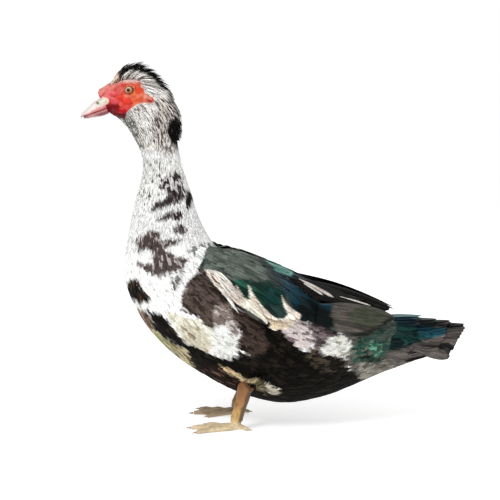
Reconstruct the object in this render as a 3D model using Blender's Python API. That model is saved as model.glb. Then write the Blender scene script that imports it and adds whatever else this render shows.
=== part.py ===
"""A life-size muscovy duck, standing with its neck up and its wings folded.

The bird faces -X, its left side is towards -Y and it stands on the plane z = 0.
Sizes below are millimetres, and MM turns them into Blender's metres when a mesh is made.
The head, neck and torso are stretches of one loft through the stations of the body.
Flight feathers, coverts, tail and crest are vanes, each fused at its root to its own part.
"""

import math
import random
from collections import namedtuple

import bmesh
import bpy
from mathutils import Matrix, Vector
from mathutils.bvhtree import BVHTree

MM = 0.001
GAP = 0.3
SEED = 11

# Body stations, bill root to tail root: outline points above and below, half width, and
# the share of the way from the lower point to the upper one where the section is widest.
Station = namedtuple("Station", "top bottom half_width widest")
STATIONS = [
    Station((-226, 452), (-219, 423), 10.0, 0.50),
    Station((-215, 461), (-212, 418), 16.0, 0.50),
    Station((-203, 467), (-204, 413), 20.0, 0.50),
    Station((-189, 470), (-196, 405), 22.5, 0.50),
    Station((-173, 468), (-189, 395), 24.0, 0.50),
    Station((-158, 460), (-183, 384), 25.0, 0.50),
    Station((-145, 446), (-178, 373), 25.0, 0.50),
    Station((-136, 427), (-175, 361), 24.5, 0.50),
    Station((-131, 403), (-174, 349), 24.0, 0.50),
    Station((-127, 374), (-176, 335), 24.5, 0.50),
    Station((-120, 343), (-181, 318), 29.0, 0.50),
    Station((-110, 315), (-187, 297), 35.0, 0.50),
    Station((-100, 287), (-194, 268), 42.0, 0.50),
    Station((-90, 263), (-200, 234), 52.0, 0.50),
    Station((-78, 243), (-200, 200), 63.0, 0.48),
    Station((-61, 231), (-189, 166), 71.0, 0.48),
    Station((-39, 222), (-168, 131), 76.0, 0.48),
    Station((-13, 211), (-136, 97), 78.0, 0.48),
    Station((16, 199), (-95, 67), 79.0, 0.48),
    Station((45, 185), (-45, 42), 78.0, 0.48),
    Station((74, 172), (10, 30), 74.0, 0.48),
    Station((101, 165), (63, 35), 67.0, 0.50),
    Station((124, 156), (107, 50), 57.0, 0.50),
    Station((145, 150), (144, 66), 45.0, 0.52),
    Station((164, 146), (174, 79), 33.0, 0.55),
]
HEAD_START, HEAD_END, NECK_END, TORSO_END = 0, 9, 12.5, 24
HEAD_RINGS, NECK_RINGS, TORSO_RINGS = 14, 7, 20
HEAD_SIDES, NECK_SIDES, TORSO_SIDES = 24, 24, 30

# The belly's sections turn from round to keeled over these stations
KEEL, KEEL_FROM, KEEL_OVER = 0.5, 10, 5

# Red mask of the face: the rim of bulbs round the eye, and the folds, each (x, z, radius)
MASK_AT, MASK_RADII = (-194, 446), (20, 15)
MASK_BULBS, MASK_BULB_SIZE = 9, (3.2, 4.6)
FACE_FOLDS = [
    (-215, 432, 5.5), (-208, 424, 6.0), (-199, 421, 5.4), (-205, 432, 4.6), (-196, 430, 4.2),
    (-166, 442, 3.6),
]
KNOB_AT, KNOB_RADII = (-227.5, 448.5), (7.0, 7.0, 6.0)

# Crest: angle of each row from the crown's middle, places along the head, lock sizes
CREST_ROWS = (-32, 0, 32)
CREST_LOCKS = 9
CREST_FROM, CREST_TO = 1.7, 8.3
CREST_LENGTH, CREST_WIDTH, CREST_STAND = (19, 25), 8.5, (18.5, 7.5)

# Bill halves, root to tip: upper point, lower point, half width, widest share
UPPER_BILL = [
    ((-226.0, 450.0), (-220.8, 428.4), 10.4, 0.35),
    ((-231.5, 446.0), (-227.0, 426.0), 10.6, 0.30),
    ((-238.5, 438.4), (-234.5, 423.4), 10.8, 0.25),
    ((-245.5, 431.8), (-242.5, 421.0), 11.2, 0.20),
    ((-251.0, 427.0), (-249.0, 419.2), 10.4, 0.20),
    ((-255.0, 422.0), (-253.6, 417.6), 7.4, 0.30),
    ((-257.0, 418.0), (-256.2, 415.8), 2.6, 0.50),
]
LOWER_BILL = [
    ((-220.7, 427.9), (-219.4, 421.6), 9.4, 0.7),
    ((-227.0, 425.4), (-226.0, 419.0), 9.6, 0.7),
    ((-234.5, 422.8), (-234.0, 417.2), 9.8, 0.7),
    ((-242.5, 420.4), (-242.2, 415.9), 9.6, 0.7),
    ((-249.0, 418.6), (-248.9, 415.1), 8.0, 0.7),
    ((-252.6, 417.2), (-252.6, 415.2), 4.6, 0.6),
]
BILL_RINGS, BILL_SIDES = 10, 14
NOSTRIL_AT, NOSTRIL_OUT, NOSTRIL_RADII, NOSTRIL_TURN = (-232.5, 438.0), 7.6, (3.4, 2.2, 1.5), 0.6

# Eyes and the ring of lids round each
EYE_AT = (-190.5, 453.5)
EYE_OUT, EYE_RADIUS = 15.8, 6.2
LID_MAJOR, LID_MINOR, LID_OUT, EYE_TURN = 5.4, 1.5, 3.6, 0.12

# Legs: lateral place of the feet, then hock and ankle of each leg in side view
FOOT_OUT = 45
LEFT_HOCK, LEFT_ANKLE = (-36, 59), (-50, 12)
RIGHT_HOCK, RIGHT_ANKLE = (-31, 57), (-50, 12)
THIGH_PATH = [(50, -14, 60), (36, -2, 40), (22, 3, 22), (9, 2, 9), (0, 0, 0)]
THIGH_RADII = [22, 23, 19, 13, 10.5]
SHANK_RADII, KNUCKLE_RADII = [10.5, 10.0, 8.8, 7.9, 7.4, 7.8], [7.8, 7.4, 7.0, 5.4]
TOE_RADIUS, TOE_TIP_RADIUS = 4.4, 2.7
Toe = namedtuple("Toe", "name turn length joints thick arch rise claw")
TOES = [
    Toe("inner", -30, 45, 2, 0.95, 0.4, 0.2, 7),
    Toe("middle", -4, 59, 3, 1.0, 0.5, 0.2, 8),
    Toe("outer", 22, 55, 3, 0.95, 0.4, 0.2, 7),
    Toe("hind", 162, 19, 1, 0.8, 0.0, 3.5, 5),
]
CLAW_TIP_Z = 1.0
WEB_SCALLOP, WEB_BOTTOM, WEB_THICK = 0.16, 0.45, 1.5

# Wing axis inside the torso, from shoulder to rump, and the wing's own body on it.
# Places on the wing are (distance along the axis, degrees from the back's middle).
AXIS_START, AXIS_END = Vector((-120, 0, 205)), Vector((180, 0, 122))
CORE_FROM, CORE_TO, CORE_RINGS, CORE_SPAN = 8, 190, 10, 7
CORE_HIGH, CORE_LOW = [34, 16, 13, 16, 24], [84, 96, 104, 108, 100]
CORE_THICK, CORE_LIFT = (2.0, 1.2), 1.9
Tier = namedtuple(
    "Tier", "count first_root last_root first_tip last_tip lifts width thick tilt uneven steps"
    " droop blunt"
)
LONG, SHORT = (0, 0.16, 0.55, 1), (0, 0.18, 0.58, 1)
WING_TIERS = [
    Tier(6, (128, 24), (138, 100), (198, 36), (232, 108), (3.3, 6.8, 6.4), 27, 1.5, 9, 2, LONG, 0.07, 0.6),
    Tier(6, (88, 19), (96, 100), (148, 27), (174, 110), (3.3, 7.0, 9.2), 26, 1.5, 9, 2, SHORT, 0.07, 0.6),
    Tier(6, (50, 19), (56, 94), (106, 22), (130, 101), (3.3, 7.0, 10.4), 24, 1.5, 9, 2, SHORT, 0.07, 0.55),
    Tier(5, (16, 32), (20, 84), (66, 30), (84, 90), (3.3, 7.2, 10.6), 22, 1.5, 9, 2, SHORT, 0.07, 0.5),
]
PRIMARY_COUNT, PRIMARY_WIDTH, PRIMARY_ARCH = 3, 17, 6.0
PRIMARY_ROOTS = (Vector((40, -28, 192)), Vector((38, -42, 184)))
PRIMARY_TIPS = (Vector((160, -9, 164)), Vector((130, -22, 163)))

# Tail: its core after the torso's last station, then fans of vanes above, in and below it
TAIL_CORE = [
    ((164, 146), (174, 79), 33),
    ((182, 145), (190, 87), 31),
    ((199, 142), (203, 99), 24),
    ((214, 136), (215, 112), 13),
]
TAIL_RINGS, TAIL_SIDES = 7, 20
TAIL_STEPS, TAIL_TILT = (0, 0.3, 0.65, 1), 0.16
Fan = namedtuple(
    "Fan", "count root_x root_out root_z root_drop tip_x tip_out tip_z tip_drop tip_back"
    " arch stack lean width thick"
)
TAIL_FANS = [
    Fan(12, 186, 16, 130, 12, 256, 56, 131, 38, 34, 2, 4.0, 0.75, 25, 1.8),
    Fan(5, 174, 17, 137, 10, 222, 32, 139, 22, 10, 2, 4.0, 0.7, 24, 1.8),
    Fan(5, 182, 14, 96, -8, 230, 32, 106, -4, 14, -2, -3.0, -0.5, 26, 1.8),
]


def catmull(values, at):
    """The smooth curve through equally spaced values, read at a fractional index."""
    last = len(values) - 1
    i = max(0, min(last - 1, int(math.floor(at))))
    t = at - i
    before, here = values[max(i - 1, 0)], values[i]
    after, beyond = values[i + 1], values[min(i + 2, last)]
    return 0.5 * (
        2 * here
        + (after - before) * t
        + (2 * before - 5 * here + 4 * after - beyond) * t * t
        + (3 * here - before - 3 * after + beyond) * t ** 3
    )


def body_section(at):
    """(top, bottom, half width, widest) of the body at a fractional station."""
    return (
        Vector([catmull([s.top[k] for s in STATIONS], at) for k in (0, 1)]),
        Vector([catmull([s.bottom[k] for s in STATIONS], at) for k in (0, 1)]),
        catmull([s.half_width for s in STATIONS], at),
        catmull([s.widest for s in STATIONS], at),
    )


def body_ring(at, sides, grow=0.0, shift=0.0):
    """One closed section of the body, grown outwards and moved along its own normal."""
    top, bottom, half_width, widest = body_section(at)
    up = (top - bottom).normalized()
    top, bottom = top + up * grow, bottom - up * grow
    middle = bottom.lerp(top, widest)
    ahead = Vector((-up.y, up.x)) * shift
    keel = 1 + KEEL * min(max((at - KEEL_FROM) / KEEL_OVER, 0.0), 1.0)
    ring = []
    for k in range(sides):
        turn = 2 * math.pi * k / sides
        c, s = math.cos(turn), math.sin(turn)
        flat = middle + ((top - middle) * c if c > 0 else (bottom - middle) * (-c) ** keel) + ahead
        ring.append(Vector((flat.x, (half_width + grow) * s, flat.y)))
    return ring


def new_object(name, bm):
    """A mesh object in metres from a bmesh in millimetres."""
    bmesh.ops.transform(bm, matrix=Matrix.Scale(MM, 4), verts=bm.verts)
    bmesh.ops.recalc_face_normals(bm, faces=bm.faces)
    mesh = bpy.data.meshes.new(name)
    bm.to_mesh(mesh)
    bm.free()
    made = bpy.data.objects.new(name, mesh)
    bpy.context.scene.collection.objects.link(made)
    return made


def add_loft(bm, rings):
    """A closed solid through rings of equal count, with a flat cap at each end."""
    made = [[bm.verts.new(p) for p in ring] for ring in rings]
    count = len(rings[0])
    for near, far in zip(made, made[1:]):
        for k in range(count):
            n = (k + 1) % count
            bm.faces.new((near[k], near[n], far[n], far[k]))
    bm.faces.new(made[0])
    bm.faces.new(made[-1][::-1])


def loft(name, rings):
    bm = bmesh.new()
    add_loft(bm, rings)
    return new_object(name, bm)


def spread(start, end, count):
    """count evenly spaced values from start to end, both included."""
    return [start + (end - start) * k / (count - 1) for k in range(count)]


def ellipsoid(name, centre, radii, turn=0.0, rings=8, sides=12):
    """A sphere scaled to three radii, leaned about Y by a turn in radians."""
    bm = bmesh.new()
    bmesh.ops.create_uvsphere(bm, u_segments=sides, v_segments=rings, radius=1.0)
    place = Matrix.Translation(centre) @ Matrix.Rotation(turn, 4, "Y")
    bmesh.ops.transform(bm, matrix=place @ Matrix.Diagonal((*radii, 1.0)), verts=bm.verts)
    return new_object(name, bm)


def lathe_tube(name, path, radii, sides=12, flatten=1.0):
    """A tapered tube along a path in space, its sections upright to the path."""
    rings = []
    for k, point in enumerate(path):
        along = (path[min(k + 1, len(path) - 1)] - path[max(k - 1, 0)]).normalized()
        side = along.cross(Vector((0, 0, 1)))
        side = side.normalized() if side.length > 0.1 else Vector((0, 1, 0))
        up = side.cross(along)
        ring = []
        for j in range(sides):
            turn = 2 * math.pi * j / sides
            ring.append(
                point
                + side * radii[k] * math.cos(turn)
                + up * radii[k] * flatten * math.sin(turn)
            )
        rings.append(ring)
    return loft(name, rings)


def keep_largest(made):
    """Drops every closed surface of a mesh but the largest."""
    bm = bmesh.new()
    bm.from_mesh(made.data)
    seen, islands = set(), []
    for start in bm.verts:
        if start in seen:
            continue
        seen.add(start)
        island, front = [start], [start]
        while front:
            for edge in front.pop().link_edges:
                for vert in edge.verts:
                    if vert not in seen:
                        seen.add(vert)
                        island.append(vert)
                        front.append(vert)
        islands.append(island)
    islands.sort(key=len)
    for island in islands[:-1]:
        bmesh.ops.delete(bm, geom=island, context="VERTS")
    bm.to_mesh(made.data)
    bm.free()
    return len(islands) - 1


def apply_modifiers(made):
    graph = bpy.context.evaluated_depsgraph_get()
    made.modifiers.update()
    bpy.context.view_layer.update()
    mesh = bpy.data.meshes.new_from_object(made.evaluated_get(graph))
    made.modifiers.clear()
    made.data = mesh


def boolean(made, others, operation, solver="EXACT"):
    """Joins or cuts a mesh object with others in one Boolean, and removes them."""
    group = bpy.data.collections.new("pieces of " + made.name)
    bpy.context.scene.collection.children.link(group)
    for other in others:
        for holder in list(other.users_collection):
            holder.objects.unlink(other)
        group.objects.link(other)
    modifier = made.modifiers.new("join", "BOOLEAN")
    modifier.operation = operation
    modifier.solver = solver
    modifier.operand_type = "COLLECTION"
    modifier.collection = group
    apply_modifiers(made)
    for other in others:
        bpy.data.objects.remove(other)
    bpy.data.collections.remove(group)
    return made


def finish(made, name, colour, roughness, metallic=0.0):
    """Names a node, gives it its own material and shades its round faces smooth."""
    keep_largest(made)
    made.name = name
    made.data.name = name
    material = bpy.data.materials.new(name)
    material.use_nodes = True
    shader = material.node_tree.nodes["Principled BSDF"]
    shader.inputs["Base Color"].default_value = (*colour, 1.0)
    shader.inputs["Roughness"].default_value = roughness
    shader.inputs["Metallic"].default_value = metallic
    made.data.materials.clear()
    made.data.materials.append(material)
    made.data.shade_smooth()
    made.data.set_sharp_from_angle(angle=math.radians(40))
    return made


def vane(bm, path, normals, width, thick, droop=0.0, blunt=0.5):
    """Adds one closed feather vane: a ridged strip along a path that widens and then rounds off.

    Each section has an upper and a lower edge on both sides of a raised shaft, and its edges
    droop to hug what lies below. Both faces are split into triangles alike.
    """
    last = len(path) - 1
    rings = []
    for k, point in enumerate(path):
        t = k / last
        along = (path[min(k + 1, last)] - path[max(k - 1, 0)]).normalized()
        normal = (normals[k] - along * normals[k].dot(along)).normalized()
        side = along.cross(normal)
        grown = 0.45 + 0.55 * min(1.0, t / 0.35)
        shut = max(0.0, (t - blunt) / (1 - blunt))
        half = 0.5 * width * grown * math.sqrt(max(0.05, 1 - 0.93 * shut * shut))
        body = thick * (1 - 0.45 * t)
        edge = max(0.25, 0.3 * body)
        drop = normal * (-droop * half)
        rings.append([
            bm.verts.new(point + side * -half + drop + normal * edge),
            bm.verts.new(point + normal * (0.5 * body + 0.15)),
            bm.verts.new(point + side * half + drop + normal * edge),
            bm.verts.new(point + side * half + drop - normal * edge),
            bm.verts.new(point - normal * 0.5 * body),
            bm.verts.new(point + side * -half + drop - normal * edge),
        ])
    for near, far in zip(rings, rings[1:]):
        for k in range(6):
            n = (k + 1) % 6
            if k in (3, 4):
                bm.faces.new((near[n], near[k], far[k]))
                bm.faces.new((near[n], far[k], far[n]))
            else:
                bm.faces.new((far[n], near[n], near[k]))
                bm.faces.new((far[n], near[k], far[k]))
    for ring, order in ((rings[0], 1), (rings[-1], -1)):
        middle = [ring[0], ring[1], ring[2], ring[3], ring[4], ring[5]][::order]
        bm.faces.new((middle[0], middle[1], middle[4], middle[5]))
        bm.faces.new((middle[1], middle[2], middle[3], middle[4]))


class Skin:
    """The torso's surface, read by distance along the wing axis and angle from the back."""

    def __init__(self, made):
        bm = bmesh.new()
        bm.from_mesh(made.data)
        bmesh.ops.transform(bm, matrix=Matrix.Scale(1 / MM, 4), verts=bm.verts)
        bmesh.ops.triangulate(bm, faces=bm.faces)
        self.tree = BVHTree.FromBMesh(bm)
        bm.free()
        self.along = (AXIS_END - AXIS_START).normalized()
        self.up = Vector((-self.along.z, 0, self.along.x))

    def point(self, far, angle, lift, side=-1):
        """A place and its normal, lift mm above the skin; angle 0 is the back, 90 the flank."""
        turn = math.radians(angle)
        out = self.up * math.cos(turn) + Vector((0, side, 0)) * math.sin(turn)
        start = AXIS_START + self.along * far
        place, normal, _, _ = self.tree.ray_cast(start + out * 200, -out)
        if place is None:
            place, normal, _, _ = self.tree.find_nearest(start + out * 40)
        blend = (normal * 0.7 + out * 0.3).normalized()
        return place + blend * lift, blend

    def path(self, start, end, lifts, steps):
        """A path over the skin between two (far, angle) places.

        lifts are the heights at the root, at the second step and at the tip; steps are shares
        of the length, so a vane leaves the wing's body soon after its root.
        """
        places, normals = [], []
        for k, t in enumerate(steps):
            far = start[0] + (end[0] - start[0]) * t
            angle = start[1] + (end[1] - start[1]) * t
            rise = (t - steps[1]) / (1 - steps[1])
            lift = lifts[1] + (lifts[2] - lifts[1]) * rise if k else lifts[0]
            place, normal = self.point(far, angle, lift)
            places.append(place)
            normals.append(normal)
        return places, normals


def beside(point, out, side=-1):
    """A side-view place (x, z) moved out to one side; -1 is the bird's left."""
    return Vector((point[0], side * out, point[1]))


def mirrored(made, name):
    """The other side's copy of a node, mirrored through the bird's middle."""
    bm = bmesh.new()
    bm.from_mesh(made.data)
    bmesh.ops.transform(bm, matrix=Matrix.Diagonal((1, -1, 1, 1)), verts=bm.verts)
    bmesh.ops.reverse_faces(bm, faces=bm.faces)
    mesh = bpy.data.meshes.new(name)
    bm.to_mesh(mesh)
    bm.free()
    other = bpy.data.objects.new(name, mesh)
    bpy.context.scene.collection.objects.link(other)
    return other


def face_bulbs(surface):
    """The red mask's caruncles: a rim of small bulbs round the eye, and the larger folds."""
    draw = random.Random(SEED)
    places = []
    for k in range(MASK_BULBS):
        turn = 2 * math.pi * (k + 0.5) / MASK_BULBS
        x = MASK_AT[0] + MASK_RADII[0] * math.cos(turn)
        z = MASK_AT[1] + MASK_RADII[1] * math.sin(turn) - 0.25 * (x - MASK_AT[0])
        places.append((x, z, draw.uniform(*MASK_BULB_SIZE)))
    places += [*FACE_FOLDS]
    bulbs = []
    for x, z, radius in places:
        for side in (-1, 1):
            hit, normal, _, _ = surface.ray_cast(Vector((x, side * 60, z)), Vector((0, -side, 0)))
            if hit is None:
                continue
            centre = hit - normal * radius * 0.45
            radii = (radius * 1.15, radius, radius * 0.95)
            bulbs.append(ellipsoid("bulb", centre, radii, draw.uniform(-0.6, 0.6), 4, 7))
    return bulbs


def lock(bm, path, normals, width, thick):
    """Adds one closed, narrow feather of the crest, four-sided and drawn to a point."""
    rings = []
    for k, place in enumerate(path):
        t = k / (len(path) - 1)
        along = (path[min(k + 1, len(path) - 1)] - path[max(k - 1, 0)]).normalized()
        across = along.cross(normals[k]).normalized()
        up = across.cross(along) * 0.5 * thick * (1 - 0.6 * t)
        across = across * 0.5 * width * (1 - 0.75 * t * t)
        rings.append([place + across, place + up, place - across, place - up])
    add_loft(bm, rings)


def crest_locks():
    """The crest: flat locks in rows over the crown and nape, raised and swept back."""
    draw = random.Random(SEED + 1)
    bm = bmesh.new()
    for row, out in enumerate(CREST_ROWS):
        for k in range(CREST_LOCKS):
            share = (k + (0.5 if row % 2 else 0.0)) / CREST_LOCKS
            at = CREST_FROM + (CREST_TO - CREST_FROM) * share
            top, bottom, half_width, widest = body_section(at)
            after = body_section(at + 0.4)[0]
            back = (after - top).normalized()
            back = Vector((back.x, 0, back.y))
            middle = bottom.lerp(top, widest)
            turn = math.radians(out)
            flat = middle + (top - middle) * math.cos(turn)
            root = Vector((flat.x, half_width * math.sin(turn), flat.y))
            up = Vector((top.x - middle.x, 0, top.y - middle.y)).normalized()
            normal = (up * math.cos(turn) + Vector((0, math.sin(turn), 0))).normalized()
            length = draw.uniform(*CREST_LENGTH)
            stand = CREST_STAND[0] + (CREST_STAND[1] - CREST_STAND[0]) * share ** 0.6
            stand *= math.cos(turn) ** 1.5 * draw.uniform(0.88, 1.0)
            path, normals = [], []
            for t in (0.0, 0.36, 0.7, 1.0):
                path.append(
                    root - normal * 2.2
                    + back * length * (0.25 * t + 0.75 * t * t)
                    + normal * (stand + 2.2) * math.sin(0.5 * math.pi * t)
                )
                normals.append(normal - back * 0.9 * (1 - t))
            lock(bm, path, normals, CREST_WIDTH, 1.8)
    return bm


def make_head():
    head = loft("head", [body_ring(u, HEAD_SIDES) for u in spread(HEAD_START, HEAD_END, HEAD_RINGS)])
    surface = tree_of(head)
    pieces = face_bulbs(surface)
    pieces.append(ellipsoid("knob", Vector((KNOB_AT[0], 0, KNOB_AT[1])), KNOB_RADII, 0.5))
    for side in (-1, 1):
        lid = beside(EYE_AT, EYE_OUT + LID_OUT, side)
        bpy.ops.mesh.primitive_torus_add(
            major_radius=LID_MAJOR * MM, minor_radius=LID_MINOR * MM, major_segments=16,
            minor_segments=6, location=lid * MM, rotation=(math.pi / 2, 0, side * -EYE_TURN),
        )
        ring = bpy.context.object
        bpy.ops.object.transform_apply()
        pieces.append(ring)
    pieces += split_closed(crest_locks(), "lock")
    boolean(head, pieces, "UNION", "MANIFOLD")
    balls = [
        ellipsoid("ball", beside(EYE_AT, EYE_OUT, side), [EYE_RADIUS + GAP] * 3, 0, 10, 16)
        for side in (-1, 1)
    ]
    boolean(head, balls, "DIFFERENCE", "MANIFOLD")
    finish(head, "head", (0.72, 0.42, 0.38), 0.6)
    for side, name in ((-1, "eye_left"), (1, "eye_right")):
        eye = ellipsoid(name, beside(EYE_AT, EYE_OUT, side), [EYE_RADIUS] * 3, 0, 10, 16)
        finish(eye, name, (0.35, 0.22, 0.06), 0.1)


def make_bill():
    """The bill's two halves, with the line of the mouth between them and nostrils cut in."""
    def half(name, stations):
        rings = []
        for at in spread(0, len(stations) - 1, BILL_RINGS):
            top = Vector([catmull([s[0][k] for s in stations], at) for k in (0, 1)])
            bottom = Vector([catmull([s[1][k] for s in stations], at) for k in (0, 1)])
            wide = catmull([s[2] for s in stations], at)
            flat = catmull([s[3] for s in stations], at)
            ring = []
            for k in range(BILL_SIDES):
                turn = 2 * math.pi * (k + 0.5) / BILL_SIDES
                c, s = math.cos(turn), math.sin(turn)
                middle = bottom.lerp(top, flat)
                place = middle + ((top - middle) * c if c > 0 else (middle - bottom) * c)
                out = wide * math.copysign(abs(s) ** 0.75, s)
                ring.append(Vector((place.x, out, place.y)))
            rings.append(ring)
        return loft(name, rings)

    upper = half("bill_upper", UPPER_BILL)
    grown = [r + GAP for r in KNOB_RADII]
    cutters = [ellipsoid("clear", Vector((KNOB_AT[0], 0, KNOB_AT[1])), grown, 0.5)]
    for side in (-1, 1):
        place = beside(NOSTRIL_AT, NOSTRIL_OUT, side)
        cutters.append(ellipsoid("nostril", place, NOSTRIL_RADII, NOSTRIL_TURN, 6, 10))
    boolean(upper, cutters, "DIFFERENCE", "MANIFOLD")
    finish(upper, "bill_upper", (0.85, 0.68, 0.64), 0.45)
    finish(half("bill_lower", LOWER_BILL), "bill_lower", (0.5, 0.15, 0.14), 0.45)


def make_neck_and_torso():
    neck = [body_ring(HEAD_END, NECK_SIDES, shift=-GAP)]
    neck += [body_ring(u, NECK_SIDES) for u in spread(HEAD_END, NECK_END, NECK_RINGS)[1:]]
    finish(loft("neck", neck), "neck", (0.8, 0.8, 0.78), 0.8)
    torso = [body_ring(NECK_END, TORSO_SIDES, shift=-GAP)]
    torso += [body_ring(u, TORSO_SIDES) for u in spread(NECK_END, TORSO_END, TORSO_RINGS)[1:]]
    return finish(loft("torso", torso), "torso", (0.1, 0.08, 0.08), 0.8)


def tree_of(made):
    """A search tree of a mesh object, in millimetres."""
    bm = bmesh.new()
    bm.from_mesh(made.data)
    bmesh.ops.transform(bm, matrix=Matrix.Scale(1 / MM, 4), verts=bm.verts)
    tree = BVHTree.FromBMesh(bm)
    bm.free()
    return tree


def split_closed(bm, name):
    """Turns a bmesh of many closed vanes into one object for each."""
    joined = new_object(name, bm)
    bpy.ops.object.select_all(action="DESELECT")
    joined.select_set(True)
    bpy.context.view_layer.objects.active = joined
    bpy.ops.mesh.separate(type="LOOSE")
    return list(bpy.context.selected_objects)


def wing_core(skin):
    """The folded wing's own body: a shell on the torso, thick at the shoulder, thin behind."""
    rings = []
    for t in spread(0, 1, CORE_RINGS):
        far = CORE_FROM + (CORE_TO - CORE_FROM) * t
        low = catmull(CORE_LOW, t * (len(CORE_LOW) - 1))
        high = catmull(CORE_HIGH, t * (len(CORE_HIGH) - 1))
        thick = (CORE_THICK[0] + (CORE_THICK[1] - CORE_THICK[0]) * t) * min(1.0, 0.35 + 6 * t)
        outer, inner = [], []
        for s in spread(0, 1, CORE_SPAN):
            angle = high + (low - high) * s
            swell = math.sin(math.pi * min(max(s, 0.0), 1.0)) ** 0.5
            outer.append(skin.point(far, angle, CORE_LIFT + 0.8 + thick * swell)[0])
            inner.append(skin.point(far, angle, CORE_LIFT)[0])
        rings.append(outer + inner[::-1])
    return loft("core", rings)


def wing_vanes(skin):
    """The folded wing's feathers in tiers, front rows lying over the roots of those behind."""
    bm = bmesh.new()
    draw = random.Random(SEED + 2)
    for tier in WING_TIERS:
        for k in range(tier.count):
            share = k / max(tier.count - 1, 1)
            root = [a + (b - a) * share for a, b in zip(tier.first_root, tier.last_root)]
            tip = [a + (b - a) * share for a, b in zip(tier.first_tip, tier.last_tip)]
            tip[0] += draw.uniform(-tier.uneven, tier.uneven)
            path, normals = skin.path(root, tip, tier.lifts, tier.steps)
            tilt = math.radians(tier.tilt)
            turned = []
            for j, normal in enumerate(normals):
                along = (path[min(j + 1, len(path) - 1)] - path[max(j - 1, 0)]).normalized()
                turned.append(Matrix.Rotation(tilt, 3, along) @ normal)
            vane(bm, path, turned, tier.width, tier.thick, tier.droop, tier.blunt)
    return bm


def primaries():
    """The long flight feathers, whose dark tips reach past the rump."""
    bm = bmesh.new()
    for k in range(PRIMARY_COUNT):
        share = k / (PRIMARY_COUNT - 1)
        root = PRIMARY_ROOTS[0].lerp(PRIMARY_ROOTS[1], share)
        tip = PRIMARY_TIPS[0].lerp(PRIMARY_TIPS[1], share)
        path, normals = [], []
        for t in spread(0, 1, 5):
            place = root.lerp(tip, t)
            place.z += PRIMARY_ARCH * math.sin(math.pi * t)
            path.append(place)
            normals.append(Vector((0.2, -0.25 - 0.75 * (1 - t), 1.0)))
        vane(bm, path, normals, PRIMARY_WIDTH, 1.8, 0.0, 0.55)
    return bm


def make_wings(torso):
    skin = Skin(torso)
    wing = wing_core(skin)
    feathers = split_closed(wing_vanes(skin), "vane") + split_closed(primaries(), "primary")
    boolean(wing, feathers, "UNION", "MANIFOLD")
    keep_largest(wing)
    other = mirrored(wing, "wing_right")
    finish(wing, "wing_left", (0.03, 0.13, 0.12), 0.4, 0.3)
    finish(other, "wing_right", (0.03, 0.13, 0.12), 0.4, 0.3)


def make_tail():
    rings = [body_ring(TORSO_END, TAIL_SIDES, shift=-GAP)]
    for at in spread(0, len(TAIL_CORE) - 1, TAIL_RINGS)[1:]:
        top = Vector([catmull([s[0][k] for s in TAIL_CORE], at) for k in (0, 1)])
        bottom = Vector([catmull([s[1][k] for s in TAIL_CORE], at) for k in (0, 1)])
        wide = catmull([s[2] for s in TAIL_CORE], at)
        middle = bottom.lerp(top, 0.6)
        ring = []
        for k in range(TAIL_SIDES):
            turn = 2 * math.pi * k / TAIL_SIDES
            c, s = math.cos(turn), math.sin(turn)
            flat = middle + ((top - middle) * c if c > 0 else (middle - bottom) * c)
            ring.append(Vector((flat.x, wide * s, flat.y)))
        rings.append(ring)
    tail = loft("tail", rings)
    bm = bmesh.new()
    for fan in TAIL_FANS:
        for k in range(fan.count):
            across = 2 * k / (fan.count - 1) - 1
            bow = abs(across) ** 1.6
            side = 1 if across > 0 else -1
            root = Vector((fan.root_x, fan.root_out * across, fan.root_z - fan.root_drop * bow))
            tip = Vector((
                fan.tip_x - fan.tip_back * bow, fan.tip_out * across, fan.tip_z - fan.tip_drop * bow
            ))
            path = [root.lerp(tip, t) for t in TAIL_STEPS]
            for t, place in zip(TAIL_STEPS, path):
                place.z += fan.arch * math.sin(math.pi * t) + fan.stack * (1 - abs(across)) * t
            lean = Vector((0, fan.lean * across + TAIL_TILT * side, 1)).normalized()
            vane(bm, path, [lean] * len(path), fan.width, fan.thick, 0.06, 0.6)
    boolean(tail, split_closed(bm, "vane"), "UNION", "MANIFOLD")
    finish(tail, "tail", (0.03, 0.13, 0.13), 0.4, 0.3)


def grown_torso():
    """The torso's outer shape with a gap round it, which cuts the legs clear of the belly."""
    ends = spread(NECK_END - 0.2, TORSO_END + 0.1, TORSO_RINGS)
    return loft("grown", [body_ring(u, TORSO_SIDES, grow=GAP + 0.1) for u in ends])


def make_leg(side, word, hock, ankle):
    """One leg's feathered thigh, bare shank, webbed foot and four claws."""
    hock, ankle = beside(hock, FOOT_OUT, side), beside(ankle, FOOT_OUT, side)
    lean = (ankle - hock).normalized()
    path = [hock + Vector((x, side * out, z)) for x, out, z in THIGH_PATH]
    thigh = lathe_tube("thigh", path, THIGH_RADII, 18)
    boolean(thigh, [grown_torso()], "DIFFERENCE", "MANIFOLD")
    finish(thigh, "thigh_" + word, (0.3, 0.28, 0.2), 0.8)
    into = (hock - path[-2]).normalized()
    begin, end = hock + into * GAP, ankle - lean * 3
    shank_path = [begin, begin + into * 3]
    shank_path += [begin.lerp(end, 0.25), begin.lerp(end, 0.5), begin.lerp(end, 0.85), end]
    shank = lathe_tube("shank", shank_path, SHANK_RADII, 14)
    boolean(shank, [grown_torso()], "DIFFERENCE", "MANIFOLD")
    finish(shank, "shank_" + word, (0.72, 0.45, 0.16), 0.5)
    make_foot(side, word, end, lean)


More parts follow.
